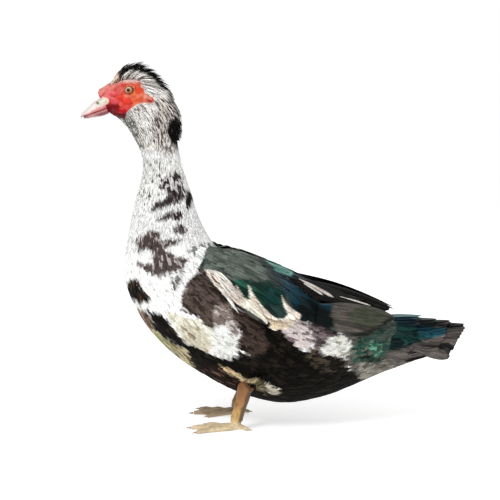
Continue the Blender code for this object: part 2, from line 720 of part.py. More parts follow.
def make_foot(side, word, end, lean):
    """Toes, knuckle and webs joined, flat underneath at floor level, with claws apart."""
    knuckle = end + lean * GAP
    centre = Vector((knuckle.x - 1.5, knuckle.y, TOE_RADIUS))
    foot = lathe_tube(
        "foot", [knuckle, knuckle + lean * 2, knuckle.lerp(centre, 0.7), centre],
        KNUCKLE_RADII, 14
    )
    pieces, ends = [], []
    for toe in TOES:
        turn = math.radians(toe.turn) * side
        ahead = Vector((-math.cos(turn), math.sin(turn), 0))
        path, radii = [], []
        for t in spread(0, 1, 2 * toe.joints + 1):
            swell = 1.0 if round(t * 2 * toe.joints) % 2 else 0.82
            radius = (TOE_RADIUS + (TOE_TIP_RADIUS - TOE_RADIUS) * t) * swell * toe.thick
            arch = toe.arch * math.sin(math.pi * min(t * 1.1, 1.0))
            path.append(centre + ahead * toe.length * t)
            path[-1].z = radius * 0.78 + arch + toe.rise * (1 - t)
            radii.append(radius)
        pieces.append(lathe_tube("toe", path, radii, 8, 0.9))
        ends.append((path[-1], radii[-1], (path[-1] - path[-2]).normalized(), toe))
    pieces.append(web(centre, [e[0] for e in ends[:3]]))
    boolean(foot, pieces, "UNION", "MANIFOLD")
    bpy.ops.mesh.primitive_cube_add(
        size=1, location=(centre.x * MM, centre.y * MM, -0.02), scale=(0.3, 0.3, 0.04)
    )
    floor = bpy.context.object
    bpy.ops.object.transform_apply()
    boolean(foot, [floor], "DIFFERENCE", "MANIFOLD")
    finish(foot, "foot_" + word, (0.75, 0.55, 0.25), 0.5)
    for place, radius, ahead, toe in ends:
        start = place + ahead * 2 * GAP
        start.z = max(start.z, radius * 0.72 + 0.3)
        path, radii = [], []
        for t in spread(0, 1, 4):
            path.append(start + ahead * toe.claw * t)
            path[-1].z = start.z + (CLAW_TIP_Z - start.z) * t + 0.4 * math.sin(math.pi * t)
            radii.append(radius * 0.72 * (1 - 0.84 * t))
        claw = lathe_tube("claw", path, radii, 8)
        finish(claw, "claw_" + toe.name + "_" + word, (0.6, 0.55, 0.45), 0.35)


def web(centre, tips):
    """The webs between the three front toes: a thin sheet with two scalloped edges."""
    outline = [centre + Vector((6, 0, 0))]
    first, second, third = [centre.lerp(tip, 0.97) for tip in tips]
    outline.append(first)
    for near, far in ((first, second), (second, third)):
        for t in spread(0, 1, 6)[1:-1]:
            edge = near.lerp(far, t)
            outline.append(edge.lerp(centre, WEB_SCALLOP * math.sin(math.pi * t)))
        outline.append(far)
    bm = bmesh.new()
    low = [bm.verts.new((p.x, p.y, WEB_BOTTOM)) for p in outline]
    sheet = bm.faces.new(low)
    raised = bmesh.ops.extrude_face_region(bm, geom=[sheet])
    tops = [v for v in raised["geom"] if isinstance(v, bmesh.types.BMVert)]
    bmesh.ops.translate(bm, vec=(0, 0, WEB_THICK), verts=tops)
    bmesh.ops.triangulate(bm, faces=bm.faces)
    return new_object("web", bm)


def main():
    for old in list(bpy.data.objects):
        bpy.data.objects.remove(old)
    make_head()
    make_bill()
    torso = make_neck_and_torso()
    make_wings(torso)
    make_tail()
    make_leg(-1, "left", LEFT_HOCK, LEFT_ANKLE)
    make_leg(1, "right", RIGHT_HOCK, RIGHT_ANKLE)
    duck = bpy.data.collections.new("muscovy_duck")
    bpy.context.scene.collection.children.link(duck)
    for made in list(bpy.data.objects):
        for holder in list(made.users_collection):
            holder.objects.unlink(made)
        duck.objects.link(made)


main()
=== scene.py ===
"""The looks of a life-size muscovy duck: skin and coat, flight feathers, head, legs and feet.

The bird faces -X with its left side towards -Y. Geometry is worked out in millimetres and
turned into metres when a mesh is made. Markings are named zones in the side view; the right
side wears the left side's zones, with other feathers picked out in them.
"""

import math
from collections import namedtuple

import bpy
import numpy as np
from mathutils import Matrix, Vector
from mathutils.bvhtree import BVHTree


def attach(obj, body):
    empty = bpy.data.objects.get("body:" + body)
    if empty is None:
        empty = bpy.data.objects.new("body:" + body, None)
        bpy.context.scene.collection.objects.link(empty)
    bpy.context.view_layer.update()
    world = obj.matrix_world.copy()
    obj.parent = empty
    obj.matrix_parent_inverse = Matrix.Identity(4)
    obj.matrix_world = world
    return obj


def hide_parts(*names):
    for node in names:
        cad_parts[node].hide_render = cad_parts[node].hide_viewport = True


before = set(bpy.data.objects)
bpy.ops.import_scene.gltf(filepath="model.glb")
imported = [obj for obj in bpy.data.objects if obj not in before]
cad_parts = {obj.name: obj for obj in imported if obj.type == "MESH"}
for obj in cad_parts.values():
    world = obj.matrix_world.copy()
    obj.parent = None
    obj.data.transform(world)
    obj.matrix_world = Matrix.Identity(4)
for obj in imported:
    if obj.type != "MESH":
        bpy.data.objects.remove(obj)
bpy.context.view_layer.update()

MM = 0.001
UV_PATCH = 0.003
STEP = 0.02

# Camera of the side view: where the bird stands, a pixel of its 500 is 1.35 mm
CAMERA_PLACE, CAMERA_AIM, CAMERA_LENS = (-0.03105, -2.2, 0.56), (-0.03105, 0.0, 0.2376), 118.587
FRAME_PIXELS, SENSOR = 500, 36.0

# Body stations, bill root to tail root: top x, z, bottom x, z, half width, widest share
STATIONS = np.array([
    (-226, 452, -219, 423, 10.0, 0.50),
    (-215, 461, -212, 418, 16.0, 0.50),
    (-203, 467, -204, 413, 20.0, 0.50),
    (-189, 470, -196, 405, 22.5, 0.50),
    (-173, 468, -189, 395, 24.0, 0.50),
    (-158, 460, -183, 384, 25.0, 0.50),
    (-145, 446, -178, 373, 25.0, 0.50),
    (-136, 427, -175, 361, 24.5, 0.50),
    (-131, 403, -174, 349, 24.0, 0.50),
    (-127, 374, -176, 335, 24.5, 0.50),
    (-120, 343, -181, 318, 29.0, 0.50),
    (-110.5, 315, -187, 297, 35.0, 0.50),
    (-102, 287, -193, 268, 42.0, 0.50),
    (-91.5, 264, -199, 234, 52.0, 0.50),
    (-78, 243, -200, 200, 63.0, 0.48),
    (-61, 231, -189, 166, 71.0, 0.48),
    (-39, 222, -168, 131, 76.0, 0.48),
    (-13, 211, -136, 97, 78.0, 0.48),
    (16, 199, -95, 68.3, 79.0, 0.48),
    (45, 185, -45, 42.5, 78.0, 0.48),
    (74, 172, 10, 28.6, 74.0, 0.48),
    (101, 165, 63, 35.8, 67.0, 0.50),
    (124, 156, 107, 51.8, 57.0, 0.50),
    (145, 150, 144, 68, 45.0, 0.52),
    (164, 146, 174, 79, 33.0, 0.55),
])
HEAD_END, TORSO_END = 9.0, 24.0
# From this station on, and over so many, the underside becomes a flatter curve
KEEL, KEEL_FROM, KEEL_OVER = 0.5, 10.0, 5.0

# How deep the skin lies under the feathers' surface, by station
COAT_DEPTH = ([0, 1.5, 5, 9, 12.5, 14.5, 22, 24], [0.2, 0.8, 1.8, 2.5, 3.5, 5.0, 5.0, 4.0])

EYE_AT, EYE_OUT, EYE_RADIUS = (-190.5, 453.5), 15.8, 6.2
# The knob at the bill's root and the ridge from it to the forehead
KNOB_PATH = [
    (-232.0, 0, 445.8), (-227.6, 0, 447.6), (-221.5, 0, 453.0), (-213.5, 0, 459.4), (-205.0, 0, 464.6),
]
KNOB_RADII = [4.8, 7.4, 6.2, 4.8, 2.4]

UPPER_BILL = np.array([
    (-226.0, 444.4, -220.8, 428.4, 10.4, 0.35),
    (-231.5, 441.6, -227.0, 426.0, 10.6, 0.30),
    (-238.5, 437.2, -234.5, 423.4, 10.8, 0.25),
    (-245.5, 430.8, -242.5, 421.0, 11.2, 0.20),
    (-251.0, 426.0, -249.0, 419.2, 10.4, 0.20),
    (-255.0, 422.0, -253.6, 417.6, 7.4, 0.30),
    (-257.0, 418.0, -256.2, 415.8, 2.6, 0.50),
])
LOWER_BILL = np.array([
    (-220.7, 429.8, -219.4, 421.6, 10.2, 0.7),
    (-227.0, 427.4, -226.0, 419.0, 10.5, 0.7),
    (-234.5, 424.8, -234.0, 417.2, 10.7, 0.7),
    (-242.5, 422.4, -242.2, 415.9, 10.9, 0.7),
    (-249.0, 420.2, -248.9, 415.1, 9.6, 0.7),
    (-252.8, 418.2, -252.8, 415.2, 6.4, 0.6),
])
NOSTRIL_AT, NOSTRIL_RADII, NOSTRIL_TURN = (-233.5, 436.0), (3.4, 1.7), 0.6

FOOT_OUT = 45
LEFT_HOCK, RIGHT_HOCK, ANKLE = (-36, 59), (-31, 57), (-50, 12)
THIGH_PATH = [(50, -14, 60), (36, -2, 40), (22, 3, 22), (9, 2, 9), (0, 0, 0)]
THIGH_RADII = [22, 23, 19, 13, 10.5]
SHANK_RADII = [10.5, 10.2, 9.2, 8.5, 8.4, 8.8]
TOE_RADIUS, TOE_TIP_RADIUS = 5.1, 3.2
Toe = namedtuple("Toe", "name turn length joints thick arch rise")
TOES = [
    Toe("inner", -30, 45, 2, 0.95, 0.4, 0.2),
    Toe("middle", -4, 59, 3, 1.0, 0.5, 0.2),
    Toe("outer", 22, 55, 3, 0.95, 0.4, 0.2),
    Toe("hind", 162, 19, 1, 0.8, 0.0, 3.5),
]

# The wing axis inside the torso; places on a wing are (mm along it, degrees from the back)
AXIS_START, AXIS_END = np.array([-120.0, 0, 205]), np.array([180.0, 0, 122])
WING_FAR, WING_ANGLE = (-20, 270), (0, 138)
FAR_STEP, ANGLE_STEP, RAY_START = 5.0, 3.0, 200
# Degrees in one unit of the wing surface's second direction
WING_TURN = 100

SIDES = ((-1, "left"), (1, "right"))


# Numbers
def unit(vectors):
    return vectors / np.maximum(np.linalg.norm(vectors, axis=-1, keepdims=True), 1e-9)


def catmull(rows, at):
    """The smooth curve through equally spaced rows, carried on straight past both ends."""
    last = len(rows) - 1
    at = np.asarray(at, float)
    held = np.clip(at, 0, last)
    i = np.clip(np.floor(held).astype(int), 0, last - 1)
    t = (held - i)[..., None]
    before, here = rows[np.maximum(i - 1, 0)], rows[i]
    after, beyond = rows[i + 1], rows[np.minimum(i + 2, last)]
    value = 0.5 * (
        2 * here
        + (after - before) * t
        + (2 * before - 5 * here + 4 * after - beyond) * t ** 2
        + (3 * here - before - 3 * after + beyond) * t ** 3
    )
    ends = np.where(at[..., None] < 0, rows[1] - rows[0], rows[last] - rows[last - 1])
    return value + ends * (at - held)[..., None]


def smooth(value, low, high):
    """0 below low, 1 above high, and a soft step between."""
    t = np.clip((value - low) / (high - low), 0, 1)
    return t * t * (3 - 2 * t)


def lattice(cells, seed):
    """A repeatable random number from 0 to 1 for each whole-numbered cell."""
    mask = np.uint64(0xFFFFFFFF)
    h = np.full(cells.shape[:-1], seed * 2654435761 % 2 ** 32, np.uint64)
    for axis, prime in enumerate((73856093, 19349663, 83492791)):
        h ^= (cells[..., axis].astype(np.int64) & 0xFFFFFFFF).astype(np.uint64) * np.uint64(prime) & mask
        h = (h ^ (h >> np.uint64(13))) * np.uint64(1540483477) & mask
    h ^= h >> np.uint64(15)
    return (h & mask).astype(float) / 2 ** 32


def noise(points, size, seed):
    """Soft value noise from 0 to 1, its lumps about size mm across."""
    q = np.asarray(points, float) / size
    cell = np.floor(q).astype(np.int64)
    f = q - cell
    f = f * f * (3 - 2 * f)
    total = 0.0
    for corner in np.ndindex(2, 2, 2):
        weight = np.prod(np.where(np.array(corner), f, 1 - f), axis=-1)
        total = total + weight * lattice(cell + np.array(corner), seed)
    return total


def linear(colour):
    """Linear light from an 8-bit display colour."""
    c = np.asarray(colour, float) / 255
    return np.where(c <= 0.04045, c / 12.92, ((c + 0.055) / 1.055) ** 2.4)


# The body's surface
def section(row, turn, share, keel=1.0):
    """Places (x, z) at turns from the top of a section, widest at a share of the way up it."""
    c = np.cos(turn)
    top, bottom = row[..., 0:2], row[..., 2:4]
    middle = bottom + (top - bottom) * share
    reach = np.where(c > 0, c, np.abs(c) ** keel)[..., None]
    return middle + np.where(c[..., None] > 0, top - middle, bottom - middle) * reach


def body(u, v):
    """The feathered body: station u along it, and v round it from the back (0) over the right."""
    row = catmull(STATIONS, u)
    turn = 2 * math.pi * np.asarray(v)
    keel = 1 + KEEL * np.clip((np.asarray(u) - KEEL_FROM) / KEEL_OVER, 0, 1)
    flat = section(row, turn, row[..., 5:6], keel)
    return np.stack([flat[..., 0], row[..., 4] * np.sin(turn), flat[..., 1]], axis=-1)


def frames(surface, a, b, step_a=STEP, step_b=STEP / 10):
    """Place, the two directions and the outward normal at each (a, b) of a surface."""
    along = (surface(a + step_a, b) - surface(a - step_a, b)) / (2 * step_a)
    across = (surface(a, b + step_b) - surface(a, b - step_b)) / (2 * step_b)
    return surface(a, b), along, across, unit(np.cross(along, across))


def unwrap(across, along, margin=0.02):
    """Places on the unwrap, inside its margin, from shares across and along a piece."""
    return np.stack([across, along], axis=-1) * (1 - 2 * margin) + margin


def coat_depth(u):
    return np.interp(u, *COAT_DEPTH)


def body_tree():
    """A search tree of the feathered body, from a plain lattice of it."""
    us, vs = np.linspace(HEAD_END, TORSO_END, 130), np.arange(120) / 120
    count = len(vs)
    grid = body(us[:, None] + 0 * vs, vs + 0 * us[:, None])
    faces = []
    for start in range(0, (len(us) - 1) * count, count):
        for j in range(count):
            n = (j + 1) % count
            faces.append((start + j, start + n, start + count + n, start + count + j))
    return BVHTree.FromPolygons([Vector(p) for p in grid.reshape(-1, 3)], faces)


WING_ALONG = unit(AXIS_END - AXIS_START)
WING_UP = np.array([-WING_ALONG[2], 0, WING_ALONG[0]])


def wing_table():
    """Distance of the left flank from the wing axis, on a lattice of (far, angle)."""
    tree = body_tree()
    fars = np.arange(WING_FAR[0], WING_FAR[1] + 1, FAR_STEP)
    angles = np.arange(WING_ANGLE[0], WING_ANGLE[1] + 1, ANGLE_STEP)
    table = np.zeros((len(fars), len(angles)))
    for i, far in enumerate(fars):
        for j, angle in enumerate(angles):
            turn = math.radians(angle)
            out = WING_UP * math.cos(turn) + np.array([0, -1, 0]) * math.sin(turn)
            start = AXIS_START + WING_ALONG * far + out * RAY_START
            place = tree.ray_cast(Vector(start), Vector(-out))[0]
            table[i, j] = RAY_START - (place - Vector(start)).length if place else table[i - 1, j]
    return table


WING_TABLE = wing_table()


def wing(far, angle):
    """The left flank under the wing, by mm along the wing axis and turns of WING_TURN degrees."""
    f = np.clip((np.asarray(far, float) - WING_FAR[0]) / FAR_STEP, 0, WING_TABLE.shape[0] - 1.001)
    g = np.clip(np.asarray(angle, float) * WING_TURN / ANGLE_STEP, 0, WING_TABLE.shape[1] - 1.001)
    i, j = f.astype(int), g.astype(int)
    s, t = f - i, g - j
    radius = (
        WING_TABLE[i, j] * (1 - s) * (1 - t) + WING_TABLE[i + 1, j] * s * (1 - t)
        + WING_TABLE[i, j + 1] * (1 - s) * t + WING_TABLE[i + 1, j + 1] * s * t
    )
    turn = np.radians(np.asarray(angle) * WING_TURN)[..., None]
    out = WING_UP * np.cos(turn) + np.array([0, -1.0, 0]) * np.sin(turn)
    return AXIS_START + WING_ALONG * np.asarray(far)[..., None] + out * radius[..., None]


def wing_back(far, angle):
    """The same flank with its angle running upwards, so that its normal points outwards."""
    return wing(far, -angle)


# Markings
FOCAL = CAMERA_LENS / SENSOR * FRAME_PIXELS
AHEAD = unit(np.array(CAMERA_AIM) - np.array(CAMERA_PLACE))
UP_IN_VIEW = np.array([0, -AHEAD[2], AHEAD[1]])


def side_view(points):
    """Pixels across and down the side view of places on either side of the bird."""
    p = np.array(points, float) * MM
    p[..., 1] = -np.abs(p[..., 1])
    p = p - np.array(CAMERA_PLACE)
    deep = p @ AHEAD
    across = FRAME_PIXELS / 2 + FOCAL * p[..., 0] / deep
    down = FRAME_PIXELS / 2 - FOCAL * (p @ UP_IN_VIEW) / deep
    return np.stack([across, down], axis=-1)


# A marking: display colours of its ground and flecks, its share of flecks, its gloss, and its
# outline in side-view pixels. Each is painted over the ones before it; the first has no outline.
Zone = namedtuple("Zone", "name colour fleck share gloss outline")
PLUMAGE = [
    Zone("white", (252, 252, 251), (232, 233, 231), 0.06, 0.0, None),
    Zone("back", (84, 90, 85), (56, 62, 58), 0.35, 0.3, [
        (214, 240), (228, 236), (250, 240), (300, 262), (345, 282), (396, 300), (400, 320), (340, 326),
        (300, 304), (250, 276), (222, 258)]),
    Zone("under tail", (96, 90, 82), (142, 138, 126), 0.3, 0.0, [
        (352, 366), (372, 358), (400, 346), (430, 350), (425, 366), (396, 376), (360, 386)]),
    Zone("forehead", (238, 214, 194), (160, 136, 118), 0.33, 0.0, [
        (98, 92), (103, 84), (110, 75), (117, 67), (121, 70), (124, 79), (121, 84), (112, 89), (104, 94)]),
    Zone("brow tuft", (72, 60, 56), (150, 136, 126), 0.25, 0.0, [
        (117, 71), (120, 66), (125, 67), (125, 74), (122, 79), (119, 79)]),
    Zone("brow pink", (244, 206, 204), (234, 166, 166), 0.4, 0.0, [
        (120, 80), (124, 76), (127, 72), (133, 75), (140, 80), (146, 88), (140, 84), (132, 81), (124, 82)]),
    Zone("cheek", (253, 250, 245), (150, 142, 134), 0.24, 0.0, [
        (125, 112), (129, 106), (140, 103), (150, 104), (158, 97), (166, 93), (173, 104), (180, 116),
        (184, 130), (182, 143), (178, 152), (170, 158), (160, 153), (148, 151), (141, 149), (134, 136)]),
    Zone("streaked hindneck", (236, 229, 222), (96, 86, 80), 0.38, 0.0, [
        (157, 101), (167, 95), (176, 107), (182, 120), (182, 140), (178, 151), (167, 151), (156, 146),
        (149, 135), (152, 121), (153, 110)]),
    Zone("nape", (20, 18, 16), (80, 74, 70), 0.10, 0.2, [
        (170, 122), (177, 116), (184, 122), (185, 137), (183, 144), (177, 149), (172, 143), (167, 132)]),
    Zone("throat", (112, 112, 104), (222, 222, 214), 0.42, 0.0, [
        (121, 116), (127, 114), (134, 121), (140, 133), (145, 146), (140, 151), (132, 142), (125, 130)]),
    Zone("neck ring", (252, 252, 251), (206, 208, 200), 0.08, 0.0, [
        (138, 150), (150, 152), (160, 154), (170, 158), (179, 152), (184, 168), (174, 172), (158, 168),
        (141, 166)]),
    Zone("spotted neck", (250, 250, 247), (84, 76, 75), 0.13, 0.0, [
        (142, 161), (178, 160), (186, 174), (190, 190), (184, 201), (170, 195), (158, 200), (143, 206),
        (139, 190)]),
    Zone("close spots", (220, 218, 217), (52, 42, 44), 0.5, 0.0, [
        (162, 179), (175, 171), (184, 180), (185, 196), (177, 198), (165, 195), (159, 187)]),
    Zone("upper bar", (52, 41, 43), (150, 140, 142), 0.1, 0.0, [
        (149, 210), (154, 201), (165, 198), (176, 192), (183, 196), (179, 203), (168, 206), (158, 210)]),
    Zone("lower bar", (56, 43, 45), (180, 172, 172), 0.12, 0.0, [
        (154, 219), (166, 213), (178, 210), (185, 215), (181, 222), (172, 218), (162, 220)]),
    Zone("neck spot", (100, 90, 90), (60, 50, 52), 0.3, 0.0, [
        (174, 227), (183, 224), (187, 231), (183, 235), (175, 234)]),
    Zone("hind spot", (24, 20, 18), (60, 56, 50), 0.1, 0.0, [
        (185, 193), (190, 189), (194, 198), (190, 207), (186, 211), (184, 201)]),
    Zone("breast patch", (80, 68, 66), (180, 172, 170), 0.18, 0.0, [
        (137, 238), (148, 231), (157, 233), (159, 241), (172, 240), (182, 239), (178, 244), (168, 246),
        (166, 250), (176, 257), (189, 262), (184, 270), (172, 272), (164, 278), (150, 274), (139, 268),
        (137, 262), (146, 265), (154, 262), (153, 250), (145, 247), (138, 251)]),
    Zone("patch foot", (72, 63, 60), (150, 140, 138), 0.15, 0.0, [
        (139, 264), (150, 268), (165, 268), (182, 262), (181, 269), (165, 273), (161, 277), (148, 272)]),
    Zone("shoulder flecks", (96, 92, 90), (190, 190, 188), 0.25, 0.0, [
        (169, 284), (175, 278), (184, 273), (184, 281), (175, 289)]),
    Zone("back flecks", (120, 122, 118), (238, 240, 236), 0.5, 0.0, [
        (188, 253), (196, 246), (206, 242), (218, 245), (206, 252), (196, 258)]),
    Zone("front edge", (14, 12, 9), (52, 36, 26), 0.2, 0.1, [
        (127, 281), (136, 280), (141, 289), (149, 296), (149, 303), (142, 305), (133, 302), (126, 292)]),
    Zone("low front", (186, 176, 142), (104, 92, 64), 0.3, 0.0, [
        (140, 306), (150, 318), (160, 330), (178, 344), (198, 360), (204, 368), (196, 380), (160, 352),
        (136, 325)]),
    Zone("front brown", (92, 72, 60), (170, 150, 134), 0.3, 0.0, [
        (140, 310), (148, 314), (156, 325), (152, 333), (143, 325)]),
    Zone("front olive", (142, 140, 96), (190, 184, 140), 0.3, 0.0, [
        (155, 330), (164, 336), (176, 348), (170, 354), (158, 344)]),
    Zone("keel", (10, 9, 7), (36, 30, 22), 0.15, 0.2, [
        (149, 310), (158, 314), (167, 320), (175, 330), (182, 338), (187, 348), (178, 348), (169, 341),
        (159, 333), (154, 324), (148, 316)]),
    Zone("creamy breast", (232, 230, 216), (206, 198, 172), 0.3, 0.0, [
        (166, 312), (182, 316), (205, 322), (216, 332), (214, 348), (200, 348), (186, 344), (176, 330)]),
    Zone("mottled breast", (212, 206, 184), (150, 134, 106), 0.3, 0.0, [
        (180, 326), (192, 326), (206, 334), (212, 344), (208, 352), (196, 350), (184, 342)]),
    Zone("breast fluff", (236, 238, 234), (200, 200, 192), 0.2, 0.0, [
        (212, 330), (225, 327), (238, 333), (239, 350), (230, 358), (218, 354), (212, 342)]),
    Zone("shoulder brown", (78, 66, 60), (48, 39, 34), 0.32, 0.1, [
        (181, 300), (184, 290), (190, 279), (198, 272), (208, 274), (216, 284), (230, 298), (232, 308),
        (224, 314), (222, 322), (214, 331), (206, 327), (200, 317), (190, 314), (181, 308)]),
    Zone("brown streaks", (122, 106, 100), (196, 188, 182), 0.25, 0.0, [
        (212, 312), (222, 302), (236, 306), (246, 316), (242, 330), (234, 336), (226, 326), (216, 328)]),
    Zone("flank", (62, 50, 44), (34, 27, 23), 0.35, 0.15, [
        (230, 308), (243, 309), (256, 317), (268, 329), (277, 346), (266, 356), (245, 356), (236, 346),
        (243, 331), (236, 320)]),
    Zone("belly", (8, 7, 5), (26, 21, 16), 0.25, 0.2, [
        (255, 313), (275, 324), (290, 337), (305, 352), (322, 364), (345, 367), (366, 374), (362, 392),
        (330, 410), (262, 415), (220, 402), (200, 376), (180, 342), (194, 346), (205, 352), (228, 360),
        (240, 354), (262, 355), (270, 345), (264, 330)]),
    Zone("brown belly front", (27, 17, 13), (92, 70, 60), 0.14, 0.0, [
        (204, 366), (222, 368), (240, 380), (236, 391), (220, 385), (206, 376)]),
    Zone("thigh fringe", (206, 184, 146), (176, 150, 110), 0.3, 0.0, [
        (221, 366), (230, 370), (240, 374.5), (248, 379), (257, 378), (261, 379.5), (254, 382.6),
        (246, 382.6), (238, 377.6), (228, 372)]),
    Zone("thigh olive", (120, 112, 84), (84, 76, 54), 0.4, 0.0, [
        (255, 380), (264, 380), (267, 387), (264, 393), (257, 392)]),
    Zone("thigh white", (216, 206, 190), (160, 150, 134), 0.25, 0.0, [
        (264, 383), (269, 383), (279, 390), (277, 395), (268, 391)]),
    Zone("vent", (60, 52, 43), (20, 17, 14), 0.45, 0.0, [
        (303, 351), (320, 349), (338, 354), (350, 365), (336, 373), (318, 369), (307, 362)]),
    Zone("rump", (88, 86, 80), (58, 60, 54), 0.3, 0.15, [
        (338, 322), (400, 320), (405, 350), (386, 359), (364, 376), (349, 368), (338, 352), (345, 343)]),
    Zone("rump teal", (44, 66, 62), (74, 82, 74), 0.4, 0.6, [
        (364, 336), (380, 328), (392, 322), (410, 322), (410, 348), (390, 352), (366, 350), (352, 344)]),
    Zone("rump green", (40, 70, 60), (92, 96, 84), 0.4, 0.6, [
        (350, 351), (360, 340), (374, 337), (384, 344), (387, 356), (371, 363), (354, 363)]),
    Zone("rump dark", (14, 26, 22), (34, 52, 44), 0.35, 0.6, [
        (361, 357), (372, 355), (384, 357), (382, 362), (368, 363)]),
    # A paler green patch on the glossy rump: painted highlight
    Zone("rump sheen highlight", (98, 158, 134), (40, 84, 68), 0.4, 0.9, [
        (366, 345), (373, 340), (380, 345), (382, 352), (374, 354), (367, 351)]),
    Zone("rump pale", (146, 144, 132), (90, 88, 80), 0.25, 0.0, [
        (359, 362), (376, 364), (373, 376), (361, 378), (356, 369)]),
    Zone("flank pink", (216, 205, 202), (128, 110, 112), 0.22, 0.0, [
        (280, 331), (290, 324), (300, 321), (311, 322), (315, 337), (308, 351), (297, 348), (287, 339)]),
    Zone("flank purple", (108, 95, 96), (72, 61, 63), 0.4, 0.0, [
        (309, 321), (322, 320), (334, 325), (340, 340), (329, 349), (315, 349)]),
    Zone("flank white", (226, 226, 218), (170, 168, 158), 0.15, 0.0, [
        (321, 349), (328, 340), (338, 333), (347, 337), (352, 348), (346, 359), (336, 353), (327, 351)]),
    Zone("band below", (252, 238, 216), (244, 220, 186), 0.3, 0.0, [
        (246, 309), (258, 317), (269, 323.5), (280, 331), (288, 328), (297, 320), (300, 315), (285, 314),
        (272, 314), (258, 308)]),
]
CREST = PLUMAGE + [
    Zone("crest white", (255, 252, 248), (200, 192, 186), 0.16, 0.0, [
        (121, 80), (126, 70), (136, 66), (148, 70), (160, 82), (168, 96), (158, 98), (146, 92), (134, 82)]),
    Zone("crest black", (22, 19, 18), (92, 84, 80), 0.12, 0.25, [
        (121, 74), (121, 66), (125, 57), (147, 55), (156, 64), (164, 75), (171, 86), (171, 93),
        (163, 89), (155, 81), (146, 75), (138, 72), (130, 70), (124, 73)]),
    Zone("crest streaks", (255, 251, 247), (118, 108, 102), 0.28, 0.0, [
        (123, 79), (125, 74), (130, 71), (138, 70.5), (146, 74), (154, 80), (148, 80), (136, 77)]),
    Zone("crest rear", (96, 89, 84), (196, 190, 184), 0.4, 0.1, [
        (167, 90), (172, 90), (178, 99), (183, 112), (184, 122), (178, 122), (174, 110), (169, 99)]),
]
FLIGHT = [
    Zone("wing", (62, 70, 65), (46, 56, 54), 0.3, 0.4, None),
    Zone("white front", (243, 244, 243), (206, 208, 206), 0.2, 0.0, [
        (176, 232), (198, 236), (208, 243), (206, 252), (201, 262), (198, 270), (180, 274)]),
    Zone("brown below", (74, 62, 57), (46, 38, 34), 0.32, 0.1, [
        (198, 268), (206, 272), (214, 284), (230, 298), (246, 310), (262, 322), (274, 332), (262, 340),
        (230, 330), (195, 300)]),
    Zone("pale below", (206, 196, 194), (128, 110, 112), 0.25, 0.0, [
        (274, 330), (288, 330), (297, 322), (312, 328), (312, 345), (285, 345)]),
    Zone("scapular edge", (46, 56, 54), (34, 42, 40), 0.3, 0.5, [
        (252, 250), (262, 252), (278, 264), (288, 280), (282, 288), (268, 276), (256, 264)]),
    Zone("scapulars", (98, 106, 99), (72, 82, 76), 0.4, 0.3, [
        (203, 263), (206, 246), (216, 238), (232, 241), (250, 249), (258, 258), (267, 275), (268, 284),
        (256, 284), (246, 281), (236, 283), (225, 277), (214, 270), (204, 270)]),
    Zone("wing green", (16, 48, 38), (34, 76, 62), 0.3, 0.8, [
        (222, 276), (234, 281), (244, 280), (256, 282), (270, 280), (282, 290), (285, 303), (282, 318),
        (264, 320), (252, 308), (246, 302), (236, 298), (228, 288)]),
    Zone("wing blue", (15, 54, 50), (9, 32, 32), 0.35, 0.9, [
        (262, 292), (272, 284), (282, 286), (287, 296), (282, 306), (272, 306), (264, 300)]),
    Zone("green lobe", (44, 66, 62), (26, 44, 42), 0.3, 0.8, [
        (262, 306), (274, 304), (284, 306), (286, 314), (282, 320), (274, 320)]),
    Zone("wing teal", (18, 60, 74), (8, 30, 40), 0.4, 0.9, [
        (266, 258), (282, 261), (296, 274), (311, 287), (328, 301), (337, 316), (330, 330), (308, 327),
        (298, 316), (290, 304), (285, 290), (276, 274)]),
    # A paler patch on the glossy teal: painted highlight
    Zone("teal sheen highlight", (104, 156, 142), (66, 116, 110), 0.2, 1.0, [
        (262, 256), (280, 259), (294, 270), (291, 277), (280, 273), (268, 265)]),
    Zone("wing dark", (5, 15, 15), (10, 28, 30), 0.25, 0.4, [
        (296, 306), (308, 300), (320, 306), (335, 314), (336, 326), (325, 333), (303, 330)]),
    Zone("tertials", (98, 91, 84), (66, 62, 56), 0.4, 0.1, [
        (336, 297), (345, 299), (368, 306), (392, 315), (398, 324), (386, 332), (360, 334), (344, 332),
        (338, 335), (331, 316)]),
    Zone("tertial green", (78, 82, 68), (54, 58, 47), 0.4, 0.4, [
        (346, 313), (364, 307), (382, 312), (394, 320), (380, 328), (360, 328), (350, 322)]),
    Zone("tertial shade", (36, 38, 33), (54, 54, 46), 0.3, 0.2, [
        (344, 335), (362, 330), (380, 325), (391, 317), (402, 320), (394, 336), (362, 345), (344, 343)]),
    Zone("band", (244, 237, 223), (226, 212, 194), 0.25, 0.0, [
        (205, 268), (210, 270), (216, 274), (222, 280), (230, 289), (236, 296), (239, 295), (237, 286),
        (241, 292), (244, 298), (249, 300), (250, 297), (248, 284), (256, 298), (262, 306), (271, 314),
        (277, 318), (283, 318), (287, 314), (284, 308), (280, 293), (286, 304), (291, 309), (301, 314),
        (295, 324), (287, 331), (281, 334), (273, 329), (260, 319), (249, 311), (238, 304), (228, 297),
        (221, 290), (213, 282), (207, 275)]),
    Zone("band tip", (236, 210, 164), (240, 222, 190), 0.3, 0.0, [
        (268, 321), (282, 321), (292, 321), (290, 332), (276, 332)]),
    Zone("band gap", (66, 56, 50), (98, 86, 76), 0.3, 0.0, [
        (209, 270), (217, 274.6), (225, 283), (232, 292), (226.4, 291.4), (219.6, 285.4), (212, 278.4)]),
]
